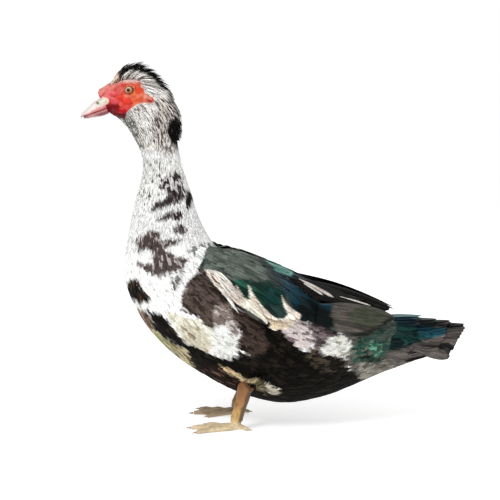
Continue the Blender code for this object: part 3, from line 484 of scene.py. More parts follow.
TAIL = [
    Zone("tail", (62, 60, 57), (78, 74, 70), 0.3, 0.3, None),
    Zone("tail root", (88, 88, 80), (60, 64, 58), 0.35, 0.2, [
        (330, 300), (382, 310), (388, 318), (380, 330), (372, 348), (368, 362), (330, 370)]),
    Zone("tail top", (92, 122, 124), (60, 96, 102), 0.2, 0.6, [
        (384, 312), (400, 311), (420, 314), (440, 318), (438, 321), (415, 320), (394, 320)]),
    Zone("tail blue", (14, 38, 52), (8, 24, 36), 0.35, 0.8, [
        (388, 318), (410, 318), (430, 321), (440, 325), (420, 330), (404, 328), (392, 326)]),
    Zone("tail teal", (20, 58, 54), (8, 32, 34), 0.4, 0.8, [
        (362, 336), (378, 326), (392, 322), (410, 325), (422, 330), (426, 337), (416, 344), (398, 350),
        (378, 352), (360, 348)]),
    Zone("tail dark", (18, 22, 22), (30, 34, 34), 0.3, 0.4, [
        (412, 322), (430, 320.5), (446, 322), (462, 319), (464, 326), (445, 328.5), (428, 327)]),
    Zone("tail bright", (34, 86, 98), (18, 58, 70), 0.3, 0.9, [
        (416, 329), (430, 326), (446, 329), (448, 334), (434, 338), (422, 337)]),
    Zone("tail brown", (96, 88, 84), (70, 64, 62), 0.3, 0.0, [
        (422, 341), (440, 336), (452, 331), (466, 330), (468, 342), (450, 345), (432, 345)]),
    Zone("tail shade", (20, 17, 17), (40, 36, 36), 0.3, 0.0, [
        (410, 343), (430, 344), (450, 344), (454, 349), (440, 351), (424, 348)]),
    Zone("tail low", (98, 92, 88), (70, 66, 64), 0.3, 0.0, [
        (380, 356), (394, 350), (408, 346), (430, 349), (446, 350), (446, 362), (420, 366), (396, 366)]),
]


def depth_in(places, outline):
    """How far each side-view place lies inside an outline, negative outside it."""
    corners = np.array(outline, float)
    ahead = np.roll(corners, -1, axis=0)
    best = np.full(len(places), 1e9)
    odd = np.zeros(len(places), bool)
    for (ax, ay), (bx, by) in zip(corners, ahead):
        dx, dy = bx - ax, by - ay
        px, py = places[:, 0] - ax, places[:, 1] - ay
        t = np.clip((px * dx + py * dy) / (dx * dx + dy * dy), 0, 1)
        best = np.minimum(best, (px - t * dx) ** 2 + (py - t * dy) ** 2)
        cross = (ay > places[:, 1]) != (by > places[:, 1])
        if dy:
            odd ^= cross & (places[:, 0] < ax + (places[:, 1] - ay) * dx / dy)
    return np.sqrt(best) * np.where(odd, 1, -1)


# How much more the edges of markings wander on the right side, and how far outside its outline
# a zone can still be seen, in pixels
FAR_WANDER, ZONE_REACH = 2.2, 6


def paint(points, zones, draw=None, wander=3.0, soft=3.0, melt=None):
    """Colour and gloss at places on the bird, given as rows of places, one row a feather.

    With a random draw each feather leans to one side of a zone's edge and perhaps takes the
    zone's fleck; without one the zones melt into each other, as on the skin. Edges are soft
    over so many pixels, and those of glossy zones over melt pixels.
    """
    shape, points = points.shape[:-1], points.reshape(-1, 3)
    each = len(points) // shape[0]
    seen = side_view(points)
    strength = wander * (1 + FAR_WANDER * smooth(points[:, 1], 0, 30))
    seen = seen + strength[:, None] * np.stack(
        [noise(points, 9, 3) + noise(points, 22, 4) - 1, noise(points, 9, 5) + noise(points, 22, 6) - 1],
        axis=-1,
    )
    colour = np.zeros((len(points), 3))
    gloss = np.zeros(len(points))
    if draw:
        pick, spot, bright = (np.repeat(draw.random(shape[0]), each) for _ in range(3))
    for zone in zones:
        if zone.outline is None:
            share = np.ones(len(points))
        else:
            low = np.min(zone.outline, axis=0) - ZONE_REACH
            high = np.max(zone.outline, axis=0) + ZONE_REACH
            near = np.all((seen > low) & (seen < high), axis=1)
            share = np.zeros(len(points))
            edge = melt if melt and zone.gloss else soft
            share[near] = smooth(depth_in(seen[near], zone.outline), -edge, edge)
        if draw:
            share = smooth(share - 0.2 - 0.6 * pick, -0.2, 0.2)
            fleck = smooth(zone.share - spot, -0.06, 0.06)[:, None]
        else:
            fleck = smooth(noise(points, 5, 8), 0.45, 0.75)[:, None] * min(1.0, 2 * zone.share)
        tone = linear(zone.colour) + (linear(zone.fleck) - linear(zone.colour)) * fleck
        colour += (tone - colour) * share[:, None]
        gloss += (zone.gloss - gloss) * share
    if draw:
        colour *= (1 + (bright - 0.5) * np.interp(colour[:, 1], [0.05, 0.6], [0.7, 0.06]))[:, None]
    return colour.reshape(*shape, 3), gloss.reshape(shape)


# Feathers
class Leaf:
    """The plan of one closed feather: rows of places from root to tip, flat underneath."""

    def __init__(self, rows, columns, blunt=0.55, neck=0.4, notch=0.0, tip=0.22):
        self.rows, self.columns = rows, columns
        self.s = np.linspace(0, 1, rows + 1) ** 0.9
        self.t = np.linspace(-1, 1, columns + 1)
        shut = np.clip((self.s - blunt) / (1 - blunt), 0, 1)
        grown = neck + (1 - neck) * smooth(self.s, 0, 0.4)
        self.wide = grown * np.sqrt(np.maximum(tip ** 2, 1 - shut ** 2))
        self.notch = notch * (np.arange(columns + 1) % 2)
        count = columns + 1
        loops, sizes, under = [], [], []
        for r in range(rows):
            a, b = r * count, (r + 1) * count
            for c in range(columns):
                loops += [a + c, b + c, b + c + 1, a + c + 1]
                sizes.append(4)
                under.append(False)
            loops += [a, a + columns, b + columns, b]
            sizes.append(4)
            under.append(True)
        loops += list(range(count))
        loops += list(range(rows * count, rows * count + count))[::-1]
        sizes += [count, count]
        under += [True, True]
        self.loops, self.sizes, self.under = np.array(loops), np.array(sizes), np.array(under)
        self.count = (rows + 1) * count


def lay(leaf, centre, normal, width, thick, droop=0.1, tilt=0.0):
    """Vertices (feathers, places, 3) of feathers whose shafts follow centre (feathers, rows + 1, 3).

    droop lowers the edges by that share of the half width, and tilt raises one edge over the
    other.
    """
    along = unit(np.gradient(centre, axis=1))
    normal = unit(normal - along * np.sum(normal * along, axis=-1, keepdims=True))
    side = np.cross(normal, along)
    half = 0.5 * np.asarray(width)[:, None, None] * leaf.wide[None, :, None]
    c = half * leaf.t
    step = np.linalg.norm(centre[:, -1] - centre[:, 0], axis=-1)[:, None, None]
    back = leaf.notch * step * smooth(leaf.s, 0.45, 1.0)[:, None]
    lens = np.asarray(thick)[:, None, None] * (1 - leaf.t ** 2) * (1 - 0.55 * leaf.s[:, None])
    height = lens - droop * half * leaf.t ** 2 + tilt * c
    places = (
        centre[:, :, None] + side[:, :, None] * c[..., None]
        + normal[:, :, None] * height[..., None] - along[:, :, None] * back[..., None]
    )
    return places.reshape(len(centre), -1, 3)


def shafts(surface, steps, leaf, roots, tips, lifts, bend=0.0, early=0.45):
    """Shafts over a surface from roots to tips (places on it), rising from lifts[0] to lifts[1]."""
    s = leaf.s[None, :, None]
    ends = tips - roots
    aside = np.stack([-ends[:, 1] * steps[2], ends[:, 0] / steps[2]], axis=-1)
    bend = np.reshape(bend, (-1, 1, 1))
    place = roots[:, None] + ends[:, None] * s + aside[:, None] * bend * s * (1 - s)
    spot, _, _, normal = frames(surface, place[..., 0], place[..., 1], steps[0], steps[1])
    rise = 0.85 * smooth(leaf.s[None], 0, early) + 0.15 * leaf.s[None]
    height = lifts[0].reshape(-1, 1) * (1 - rise) + lifts[1].reshape(-1, 1) * rise
    return spot + normal * height[..., None], normal


class Batch:
    """Feathers of one plan: their vertices, colours, gloss and places on the unwrap."""

    flip = False

    def __init__(self, leaf, verts, colour, gloss, root_uv, lengths, widths, draw):
        n = len(verts)
        rows, columns = leaf.rows + 1, leaf.columns + 1
        self.leaf, self.verts = leaf, verts
        s = np.repeat(leaf.s, columns)
        t = np.tile(leaf.t, rows)
        given = gloss.size // n
        self.colour = np.repeat(colour.reshape(n, given, 3), leaf.count // given, axis=1)
        self.gloss = np.repeat(gloss.reshape(n, given), leaf.count // given, axis=1)
        self.lie = np.stack([
            s * lengths[:, None], t * leaf.wide.repeat(columns) * widths[:, None] / 2,
            np.repeat(draw.random(n)[:, None], rows * columns, axis=1),
        ], axis=-1)
        patch = np.stack([t / 2 + 0.5, s], axis=-1) - 0.5
        self.uv = root_uv[:, None] + UV_PATCH * patch[None]

    def mirrored(self):
        self.verts = self.verts * np.array([1, -1, 1])
        self.flip = True
        return self


def mesh_from(name, verts, loops, sizes):
    mesh = bpy.data.meshes.new(name)
    mesh.vertices.add(len(verts))
    mesh.vertices.foreach_set("co", (verts * MM).astype(np.float32).ravel())
    mesh.loops.add(len(loops))
    mesh.loops.foreach_set("vertex_index", loops.astype(np.int32))
    mesh.polygons.add(len(sizes))
    starts = np.concatenate([[0], np.cumsum(sizes)[:-1]])
    mesh.polygons.foreach_set("loop_start", starts.astype(np.int32))
    mesh.update(calc_edges=True)
    return mesh


def set_values(mesh, name, kind, key, values):
    made = mesh.attributes.new(name, kind, "POINT")
    made.data.foreach_set(key, np.ascontiguousarray(values, np.float32).ravel())


def colour_in(made, colour):
    opaque = np.c_[np.clip(colour, 0, 1), np.ones(len(colour))]
    set_values(made.data, "tint", "FLOAT_COLOR", "color", opaque)


def feather_piece(name, batches, finish, node_slot):
    """Joins batches of feathers into one object with its colours, gloss and unwrap."""
    verts, loops, sizes, under, start = [], [], [], [], 0
    for batch in batches:
        leaf, n = batch.leaf, len(batch.verts)
        ring = leaf.loops
        if batch.flip:
            ends = np.cumsum(leaf.sizes)
            ring = np.concatenate([leaf.loops[e - k:e][::-1] for e, k in zip(ends, leaf.sizes)])
        loops.append((start + np.arange(n)[:, None] * leaf.count + ring).ravel())
        sizes.append(np.tile(leaf.sizes, n))
        under.append(np.tile(leaf.under, n))
        verts.append(batch.verts.reshape(-1, 3))
        start += n * leaf.count
    verts, loops = np.concatenate(verts), np.concatenate(loops)
    mesh = mesh_from(name, verts, loops, np.concatenate(sizes))
    made = bpy.data.objects.new(name, mesh)
    bpy.context.scene.collection.objects.link(made)
    colour_in(made, np.concatenate([b.colour.reshape(-1, 3) for b in batches]))
    set_values(mesh, "gloss", "FLOAT", "value", np.concatenate([b.gloss.ravel() for b in batches]))
    lie = np.concatenate([b.lie.reshape(-1, 3) for b in batches])
    set_values(mesh, "lie", "FLOAT_VECTOR", "vector", lie)
    uv = mesh.uv_layers.new(name="OFBake")
    places = np.concatenate([b.uv.reshape(-1, 2) for b in batches])[loops]
    uv.data.foreach_set("uv", np.ascontiguousarray(places, np.float32).ravel())
    mesh.polygons.foreach_set("use_smooth", ~np.concatenate(under))
    return dress(made, finish, node_slot)


def dress(made, finish, node_slot):
    """Gives a piece its material and parents it to the root body."""
    made.data.materials.clear()
    made.data.materials.append(finish)
    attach(made, "root")
    return made


# Plans of feathers, from the head's shortest to the wings' longest
TUFT = Leaf(2, 2, 0.4, 0.5, 0.0, 0.2)
HAIR = Leaf(3, 2, 0.3, 0.6, 0.0, 0.12)
SMALL = Leaf(3, 2, 0.4, 0.5, 0.0, 0.25)
PLUME = Leaf(4, 4, 0.4, 0.5, 0.12, 0.3)
VANE = Leaf(26, 10, 0.62, 0.55, 0.012, 0.2)
COVERT = Leaf(14, 8, 0.5, 0.5, 0.02, 0.3)
SOFT = Leaf(6, 4, 0.5, 0.5, 0.02, 0.3)
# A stretch of the coat from one station to another: how far apart its feathers are, how long and
# how wide (mm), their plan, and how much their directions vary
Cover = namedtuple("Cover", "name first last apart length width leaf wild slot")
COVERS = [
    Cover("coat_head", 0.4, 4.6, 1.8, 7.0, 2.0, TUFT, 0.35, "head"),
    Cover("coat_nape", 4.4, 9.2, 2.0, 12.5, 2.4, HAIR, 0.3, "head"),
    Cover("coat_neck", 9.0, 12.9, 2.7, 14.0, 4.6, SMALL, 0.25, "neck"),
    Cover("coat_breast", 12.7, 16.1, 3.9, 19.0, 8.0, PLUME, 0.22, "body"),
    Cover("coat_flanks", 16.0, 19.6, 4.1, 21.0, 8.6, PLUME, 0.22, "body"),
    Cover("coat_rear", 19.5, 24.3, 4.3, 22.0, 9.0, PLUME, 0.22, "body"),
]


def rows_of(first, last, apart, draw):
    """Staggered places (u, v) of feather roots, evenly spaced along and round the body."""
    u, places, odd = first, [], 0
    turns = np.linspace(0, 1, 241)
    while u < last:
        ring = body(np.full(len(turns), u), turns)
        run = np.concatenate([[0], np.cumsum(np.linalg.norm(np.diff(ring, axis=0), axis=1))])
        count = max(8, int(run[-1] / apart))
        at = (np.arange(count) + 0.5 * odd + draw.uniform(-0.3, 0.3, count)) / count * run[-1]
        v = np.interp(at % run[-1], run, turns)
        jitter = draw.uniform(-0.3, 0.3, count)
        _, along, _, _ = frames(body, np.full(count, u), v)
        pace = np.linalg.norm(along, axis=-1)
        places.append(np.stack([u + jitter * apart / pace, v], axis=-1))
        step = np.linalg.norm(frames(body, np.array([u]), np.array([0.75]))[1])
        u += apart / step
        odd = 1 - odd
    return np.concatenate(places)


# The outline of the bare red face in the side view
MASK = [
    (101, 101), (97, 97), (98, 91), (104, 86), (111, 81), (119, 77), (127, 76), (135, 78), (141, 82),
    (144, 88), (145, 93), (151, 94), (155, 98), (155, 102), (150, 104), (144, 103), (137, 105), (131, 109),
    (127, 113), (126, 119), (118, 119), (110, 115), (103, 110),
]


def under_wing(points):
    """Whether places lie well under a folded wing, where no small feather shows."""
    p = points - AXIS_START
    far = p @ WING_ALONG
    angle = np.degrees(np.arctan2(np.abs(p[:, 1]), p @ WING_UP))
    high = np.interp(far, [8, 50, 100, 190], [50, 36, 30, 40])
    low = np.interp(far, [8, 50, 100, 150, 190], [66, 78, 88, 88, 84])
    return (far > 26) & (far < 176) & (angle > high) & (angle < low)


def small_feathers(cover, draw):
    """One stretch of the coat: short feathers that overlap backwards and follow the body."""
    roots = rows_of(cover.first, cover.last, cover.apart, draw)
    place, along, across, _ = frames(body, roots[:, 0], roots[:, 1])
    keep = (depth_in(side_view(place), MASK) < 0.6) & ~under_wing(place)
    roots, along, across = roots[keep], along[keep], across[keep]
    n = len(roots)
    pace = np.linalg.norm(along, axis=-1)
    level = np.linalg.norm(frames(body, roots[:, 0], np.full(n, 0.75))[1], axis=-1)
    grow = np.clip(pace / level, 0.7, 1.7)
    length = cover.length * grow ** 0.8 * draw.uniform(0.82, 1.15, n)
    width = cover.width * grow ** 0.35 * draw.uniform(0.85, 1.15, n)
    turn = cover.wild * draw.normal(0, 1, n) * 0.5
    tips = roots + np.stack([
        length * np.cos(turn) / pace, length * np.sin(turn) / np.linalg.norm(across, axis=-1)], axis=-1)
    depth = coat_depth(roots[:, 0])
    lifts = (-depth + 0.3, draw.uniform(-0.3, 0.6, n) * (0.3 + depth * 0.1))
    steps = (STEP, STEP / 10, 6.0)
    centre, out = shafts(body, steps, cover.leaf, roots, tips, lifts, draw.normal(0, 0.05, n))
    thick = np.clip(width * 0.05, 0.2, 0.4)
    verts = lay(cover.leaf, centre, out, width, thick, 0.14)
    colour, gloss = paint(centre, PLUMAGE, draw)
    # Each feather is painted darker towards its root, as shade under the feathers that overlap it; dark
    # feathers are painted paler towards their tips, partly their pale fringes and partly a painted
    # highlight
    rim = smooth(cover.leaf.s, 0.5, 1.0)[None, :, None] * np.interp(colour, [0.0, 0.3], [0.5, 0.0])
    colour *= (0.9 + 0.1 * smooth(cover.leaf.s, 0.3, 0.8))[None, :, None] * (1 + rim)
    uv = unwrap(roots[:, 1] % 1.0, roots[:, 0] / TORSO_END)
    return Batch(cover.leaf, verts, colour, gloss, uv, length, width, draw)


# The wing's rows of feathers, by mm along its axis: each lies over the roots of the next
WING_ROWS = [6, 12, 18, 25, 32, 40, 49, 58, 68, 78, 89, 100, 112, 124, 136, 158]
ROW_LENGTH = ([6, 20, 60, 100, 136, 158], [20, 27, 44, 60, 76, 84])
ROW_WIDTH = ([6, 20, 60, 136, 158], [8, 10, 12.5, 14, 20])
ROW_ROOT = ([6, 20, 40], [-1.5, 1.0, 3.0])
ROW_LIFT = ([6, 20, 45, 80, 136, 158], [1.8, 5.0, 10.0, 10.2, 8.6, 11.0])
ROW_HIGH = ([6, 20, 40, 60, 120, 158], [44, 27, 15, 12, 11, 10])
# How much higher the vanes stand along the wing's top edge
TOP_RISE = 3.5
ROW_LOW = ([6, 20, 38, 58, 81, 106, 132, 158], [66, 74, 84, 90, 95, 87, 78, 62])
ROW_SLOPE = ([10, 20, 45, 70, 100], [9, 12, 19, 25, 27])
REAR_SLOPE = 24
WING_RADIUS = 84
# Thin pale feathers along the front of the white band, over the brown shoulder
WISP = Leaf(6, 2, 0.3, 0.5, 0.0, 0.1)
WISPS, WISP_LINE, WISP_REACH = 34, np.array([(27, 70), (56, 87)]), np.array([26, 12])
WISP_PALE = [Zone("wisps", (246, 242, 234), (226, 206, 198), 0.3, 0.0, None)]
WING_STEPS = (4.0, 0.03, 90.0)


def between(ends, share):
    return ends[0] * (1 - share) + ends[1] * share


def wing_batches(draw):
    """The left wing's tiers of vanes, its flight feathers and the soft feathers at its front."""
    batches = []
    for k, far in enumerate(WING_ROWS):
        length, width = np.interp(far, *ROW_LENGTH), np.interp(far, *ROW_WIDTH)
        high, low = np.interp(far, *ROW_HIGH), np.interp(far, *ROW_LOW)
        count = max(3, int(math.radians(low - high) * WING_RADIUS / (0.52 * width)))
        angle = high + (low - high) * (np.arange(count) + 0.5 * (k % 2)) / (count - 0.5)
        rear = smooth(far, 85, 110) * (1 - smooth(far, 140, 158))
        slope = np.interp(angle, *ROW_SLOPE) * (1 - rear) + REAR_SLOPE * rear - 10 * smooth(far, 140, 158)
        slope = np.radians(slope + draw.normal(0, 2.0, count))
        reach = length * draw.uniform(0.9, 1.08, count)
        root = np.stack([far + draw.uniform(-3, 3, count), angle], axis=-1)
        tip = root + np.stack([
            reach * np.cos(slope), np.degrees(reach * np.sin(slope) / WING_RADIUS)], axis=-1)
        lifts = (np.interp(far, *ROW_ROOT), np.interp(far, *ROW_LIFT))
        batches.append(wing_row(VANE if length > 50 else COVERT, root, tip, lifts, width, draw))
    at = draw.random(WISPS)[:, None]
    root = between(WISP_LINE, at) + draw.normal(0, 2.5, (WISPS, 2))
    tip = root + WISP_REACH * draw.uniform(0.7, 1.2, (WISPS, 1)) + draw.normal(0, 2.0, (WISPS, 2))
    batches.append(wing_row(WISP, root, tip, (5.0, 11.0), 3.4, draw, WISP_PALE, 0.5))
    return batches


def wing_row(leaf, root, tip, lifts, width, draw, zones=FLIGHT, thick=0.9):
    """Feathers over the left wing, from roots to tips in mm along it and degrees from the back."""
    n = len(root)
    to_surface = np.array([1, -1 / WING_TURN])
    roots, tips = root * to_surface, tip * to_surface
    top = TOP_RISE * (1 - smooth(tip[:, 1], 20, 55)) * smooth(tip[:, 0], 30, 60)
    high = (np.full(n, lifts[0]), lifts[1] + top + draw.uniform(-0.5, 0.5, n))
    centre, out = shafts(wing_back, WING_STEPS, leaf, roots, tips, high, draw.normal(0, 0.03, n), 0.4)
    wide = width * draw.uniform(0.9, 1.1, n)
    verts = lay(leaf, centre, out, wide, np.full(n, thick), 0.08, 0.10)
    colour, gloss = paint(verts, zones, draw, 1.5, 1.0, 3.0)
    length = np.linalg.norm(centre[:, -1] - centre[:, 0], axis=-1)
    uv = unwrap((roots[:, 0] + 10) / 290, -roots[:, 1] / 1.4)
    return Batch(leaf, verts, colour, gloss, uv, length, wide, draw)


# Materials
COLOR, VECTOR, FLOAT = "NodeSocketColor", "NodeSocketVector", "NodeSocketFloat"


class Graph:
    """A node tree and short ways to add nodes, which take numbers or other nodes' outputs."""

    def __init__(self, tree):
        self.nodes, self.links = tree.nodes, tree.links

    def feed(self, socket, value):
        if isinstance(value, (int, float)):
            socket.default_value = value
        else:
            self.links.new(value, socket)

    def made(self, kind, values=(), **settings):
        """A new node with its settings, its first inputs fed by values."""
        node = self.nodes.new(kind)
        for label, value in settings.items():
            setattr(node, label, value)
        for socket, value in zip(node.inputs, values):
            self.feed(socket, value)
        return node

    def math(self, operation, *values):
        return self.made("ShaderNodeMath", values, operation=operation).outputs[0]

    def plus(self, first, second):
        return self.math("ADD", first, second)

    def minus(self, first, second):
        return self.math("SUBTRACT", first, second)

    def times(self, first, second):
        return self.math("MULTIPLY", first, second)

    def ranged(self, value, low, high, to_low=0.0, to_high=1.0):
        return self.made("ShaderNodeMapRange", (value, low, high, to_low, to_high)).outputs[0]

    def mixed(self, share, first, second, mode="MIX"):
        node = self.made("ShaderNodeMix", data_type="RGBA", blend_type=mode)
        for k, value in ((0, share), (6, first), (7, second)):
            self.feed(node.inputs[k], value)
        return node.outputs[2]

    def grey(self, tone):
        return self.made("ShaderNodeCombineXYZ", (tone, tone, tone)).outputs[0]

    def place(self):
        return self.nodes.new("ShaderNodeTexCoord").outputs["Object"]

    def clouds(self, place, scale, detail, roughness=0.5):
        node = self.nodes.new("ShaderNodeTexNoise")
        values = {"Vector": place, "Scale": scale, "Detail": detail, "Roughness": roughness}
        for label, value in values.items():
            self.feed(node.inputs[label], value)
        return node.outputs[0]


def group(name, inputs, outputs):
    """A shader node group with named sockets: its tree, graph, given values and results."""
    tree = bpy.data.node_groups.new(name, "ShaderNodeTree")
    for label, kind, value in inputs:
        socket = tree.interface.new_socket(name=label, in_out="INPUT", socket_type=kind)
        if value is not None:
            socket.default_value = value
    for label, kind in outputs:
        tree.interface.new_socket(name=label, in_out="OUTPUT", socket_type=kind)
    given, result = tree.nodes.new("NodeGroupInput").outputs, tree.nodes.new("NodeGroupOutput").inputs
    return tree, Graph(tree), given, result


def barb_group():
    """Barbs slanting off a darker shaft, long streaks and a soft mottle: a feather's fine surface."""
    tree, graph, given, result = group(
        "Feather barbs",
        [("Tint", COLOR, None), ("Lie", VECTOR, None), ("Gloss", FLOAT, 0.0), ("Barb Contrast", FLOAT, 0.2),
         ("Streak", FLOAT, 0.2), ("Matt", FLOAT, 0.8), ("Polished", FLOAT, 0.36)],
        [("Color", COLOR), ("Roughness", FLOAT), ("Height", FLOAT), ("Metallic", FLOAT)],
    )
    plus, minus, times, ranged = graph.plus, graph.minus, graph.times, graph.ranged
    along, across, draw = graph.made("ShaderNodeSeparateXYZ", (given["Lie"],)).outputs
    out = graph.math("ABSOLUTE", across)
    slant = minus(times(along, 5.2), times(out, 4.2))
    split = graph.math("SINE", plus(times(slant, 0.23), times(draw, 6.28)))
    barbs = plus(times(graph.math("SINE", slant), 0.5), times(split, 0.5))
    shaft = ranged(out, 0.15, 0.5, 1.0, 0.0)
    tone = plus(1.0, times(barbs, times(given["Barb Contrast"], 0.5)))
    tone = times(tone, ranged(graph.clouds(graph.place(), 160.0, 3.0), 0.3, 0.7, 0.86, 1.12))
    tone = times(tone, ranged(shaft, 0.0, 1.0, 1.0, 0.9))
    lengthwise = [times(value, scale) for value, scale in ((along, 0.05), (across, 0.55), (draw, 40.0))]
    strand = graph.made("ShaderNodeCombineXYZ", lengthwise).outputs[0]
    strands = ranged(graph.clouds(strand, 1.0, 3.0), 0.3, 0.7, -1.0, 1.0)
    tone = times(tone, plus(1.0, times(strands, given["Streak"])))
    rough = plus(given["Matt"], times(given["Gloss"], minus(given["Polished"], given["Matt"])))
    graph.feed(result["Color"], graph.mixed(1.0, given["Tint"], graph.grey(tone), "MULTIPLY"))
    graph.feed(result["Roughness"], plus(rough, times(barbs, 0.04)))
    graph.feed(result["Metallic"], times(given["Gloss"], 0.55))
    graph.feed(result["Height"], plus(times(barbs, 0.5), times(shaft, 0.8)))
    return tree


def flesh_group():
    """Bare skin: fine pores and blotches over a painted colour."""
    tree, graph, given, result = group(
        "Bare skin",
        [("Tint", COLOR, None), ("Pore Size", FLOAT, 900.0), ("Blotch Size", FLOAT, 120.0),
         ("Blotch", FLOAT, 0.3), ("Deep", COLOR, (0.2, 0.01, 0.01, 1))],
        [("Color", COLOR), ("Roughness", FLOAT), ("Height", FLOAT)],
    )
    place = graph.place()
    pores = graph.made("ShaderNodeTexVoronoi", feature="F1")
    graph.feed(pores.inputs["Vector"], place)
    graph.feed(pores.inputs["Scale"], given["Pore Size"])
    pit = graph.ranged(pores.outputs["Distance"], 0.0, 0.6)
    blotch = graph.clouds(place, given["Blotch Size"], 4.0)
    share = graph.times(graph.ranged(blotch, 0.42, 0.72), given["Blotch"])
    colour = graph.mixed(share, given["Tint"], given["Deep"])
    shade = graph.grey(graph.ranged(pit, 0.0, 1.0, 1.08, 0.86))
    graph.feed(result["Color"], graph.mixed(1.0, colour, shade, "MULTIPLY"))
    graph.feed(result["Roughness"], graph.ranged(blotch, 0.3, 0.7, 0.36, 0.56))
    graph.feed(result["Height"], graph.minus(graph.times(blotch, 0.6), pit))
    return tree


def horn_group():
    """Claw horn: a light and a dark tone in worn patches, with thin dark creases."""
    tree, graph, given, result = group(
        "Claw horn",
        [("Plate Scale", FLOAT, 420.0), ("Light", COLOR, (0.75, 0.55, 0.25, 1)),
         ("Dark", COLOR, (0.2, 0.09, 0.02, 1)), ("Worn", FLOAT, 0.5)],
        [("Color", COLOR), ("Roughness", FLOAT), ("Height", FLOAT)],
    )
    place = graph.place()
    stretch = graph.made("ShaderNodeMapping", (place,))
    stretch.inputs["Scale"].default_value = (1.0, 0.6, 1.1)
    plates = graph.made("ShaderNodeTexVoronoi", feature="DISTANCE_TO_EDGE")
    graph.feed(plates.inputs["Vector"], stretch.outputs[0])
    graph.feed(plates.inputs["Scale"], given["Plate Scale"])
    crease = graph.ranged(plates.outputs[0], 0.0, 0.16, 1.0, 0.0)
    broad = graph.clouds(place, 45.0, 4.0, 0.6)
    worn = graph.times(graph.ranged(broad, 0.4, 0.75), given["Worn"])
    share = graph.plus(graph.times(crease, 0.55), worn)
    graph.feed(result["Color"], graph.mixed(share, given["Light"], given["Dark"]))
    graph.feed(result["Roughness"], graph.ranged(broad, 0.3, 0.7, 0.42, 0.62))
    graph.feed(result["Height"], graph.minus(graph.times(broad, 0.3), crease))
    return tree


# A group's input, the mesh attribute that it reads, and the socket that gives it
READ = (("Tint", "tint", "Color"), ("Lie", "lie", "Vector"), ("Gloss", "gloss", "Fac"))


def material(name, tree, values, bump, strength, **constants):
    """A Principled material fed by one group, whose inputs named in READ come from the mesh."""
    made = bpy.data.materials.new(name)
    made.use_nodes = True
    nodes, links = made.node_tree.nodes, made.node_tree.links
    shader = nodes["Principled BSDF"]
    finish = nodes.new("ShaderNodeGroup")
    finish.node_tree = tree
    for label, attribute, socket in READ:
        if label in finish.inputs:
            reader = nodes.new("ShaderNodeAttribute")
            reader.attribute_name = attribute
            links.new(reader.outputs[socket], finish.inputs[label])
    for label, value in values.items():
        finish.inputs[label].default_value = value
    for source, target in (("Color", "Base Color"), ("Roughness", "Roughness"), ("Metallic", "Metallic")):
        if source in finish.outputs:
            links.new(finish.outputs[source], shader.inputs[target])
    lift = nodes.new("ShaderNodeBump")
    lift.inputs["Distance"].default_value = bump
    lift.inputs["Strength"].default_value = strength
    links.new(finish.outputs["Height"], lift.inputs["Height"])
    links.new(lift.outputs[0], shader.inputs["Normal"])
    for label, value in constants.items():
        shader.inputs[label.replace("_", " ")].default_value = value
    return made


# Bare skin of the head: each fold's middle, half length and half height in the side view,
# its height in mm, the turn of its length and its display colour
Fold = namedtuple("Fold", "x y long high tall turn colour")
FOLDS = [
    Fold(112.5, 87.5, 8.0, 3.0, 2.0, -38, (228, 128, 116)),
    Fold(108, 92, 4.0, 3.0, 1.6, -30, (230, 120, 116)),
    Fold(113, 94.3, 4.6, 2.9, 2.6, -14, (230, 84, 94)),
    Fold(119.5, 90, 3.8, 5.4, 1.5, 16, (224, 98, 92)),
    Fold(114.2, 101, 6.0, 3.2, 3.2, 20, (236, 84, 98)),
    Fold(115.2, 107.6, 5.6, 3.9, 2.4, 32, (118, 0, 14)),
    # A small fold whose pale pink is a painted highlight on the red below it
    Fold(120.8, 104.6, 3.2, 2.2, 2.4, 40, (238, 88, 84)),
    Fold(122, 110.6, 5.6, 3.2, 2.8, 16, (186, 10, 30)),
    # A dark fold under the gape: painted shadow
    Fold(120.5, 115.4, 6.0, 1.8, 1.2, 6, (84, 0, 10)),
    Fold(127, 101.3, 6.8, 4.0, 2.8, 20, (232, 62, 42)),
    Fold(121.2, 97.6, 3.6, 2.6, 1.8, 30, (230, 58, 44)),
    Fold(128.5, 108.4, 3.4, 2.6, 1.6, -46, (226, 70, 66)),
    # A thin peach strip along the big red fold's upper edge: painted highlight
    Fold(128, 96.2, 4.6, 1.6, 1.6, 10, (242, 128, 98)),
    Fold(135.6, 99.2, 5.0, 2.4, 1.8, -22, (240, 104, 70)),
    Fold(134, 94.6, 4.0, 1.8, 1.4, -20, (240, 118, 78)),
    Fold(140.5, 95.6, 4.2, 2.2, 1.6, -8, (242, 132, 96)),
    Fold(139.4, 90.6, 3.6, 3.6, 1.5, 14, (236, 76, 42)),
    Fold(138.2, 85, 3.4, 3.2, 1.3, -24, (232, 96, 66)),
    Fold(133, 81.6, 4.4, 2.0, 1.2, 20, (228, 138, 128)),
    Fold(146.5, 97, 3.6, 2.6, 2.0, 6, (238, 150, 130)),
    Fold(150.4, 98.2, 2.4, 2.0, 1.6, 20, (234, 140, 128)),
    Fold(150, 100.9, 2.6, 1.4, 1.8, 20, (150, 36, 50)),
    Fold(125, 79.8, 5.0, 2.0, 1.1, -10, (234, 160, 152)),
    Fold(119.5, 83.4, 3.8, 2.4, 1.3, -36, (230, 136, 126)),
]
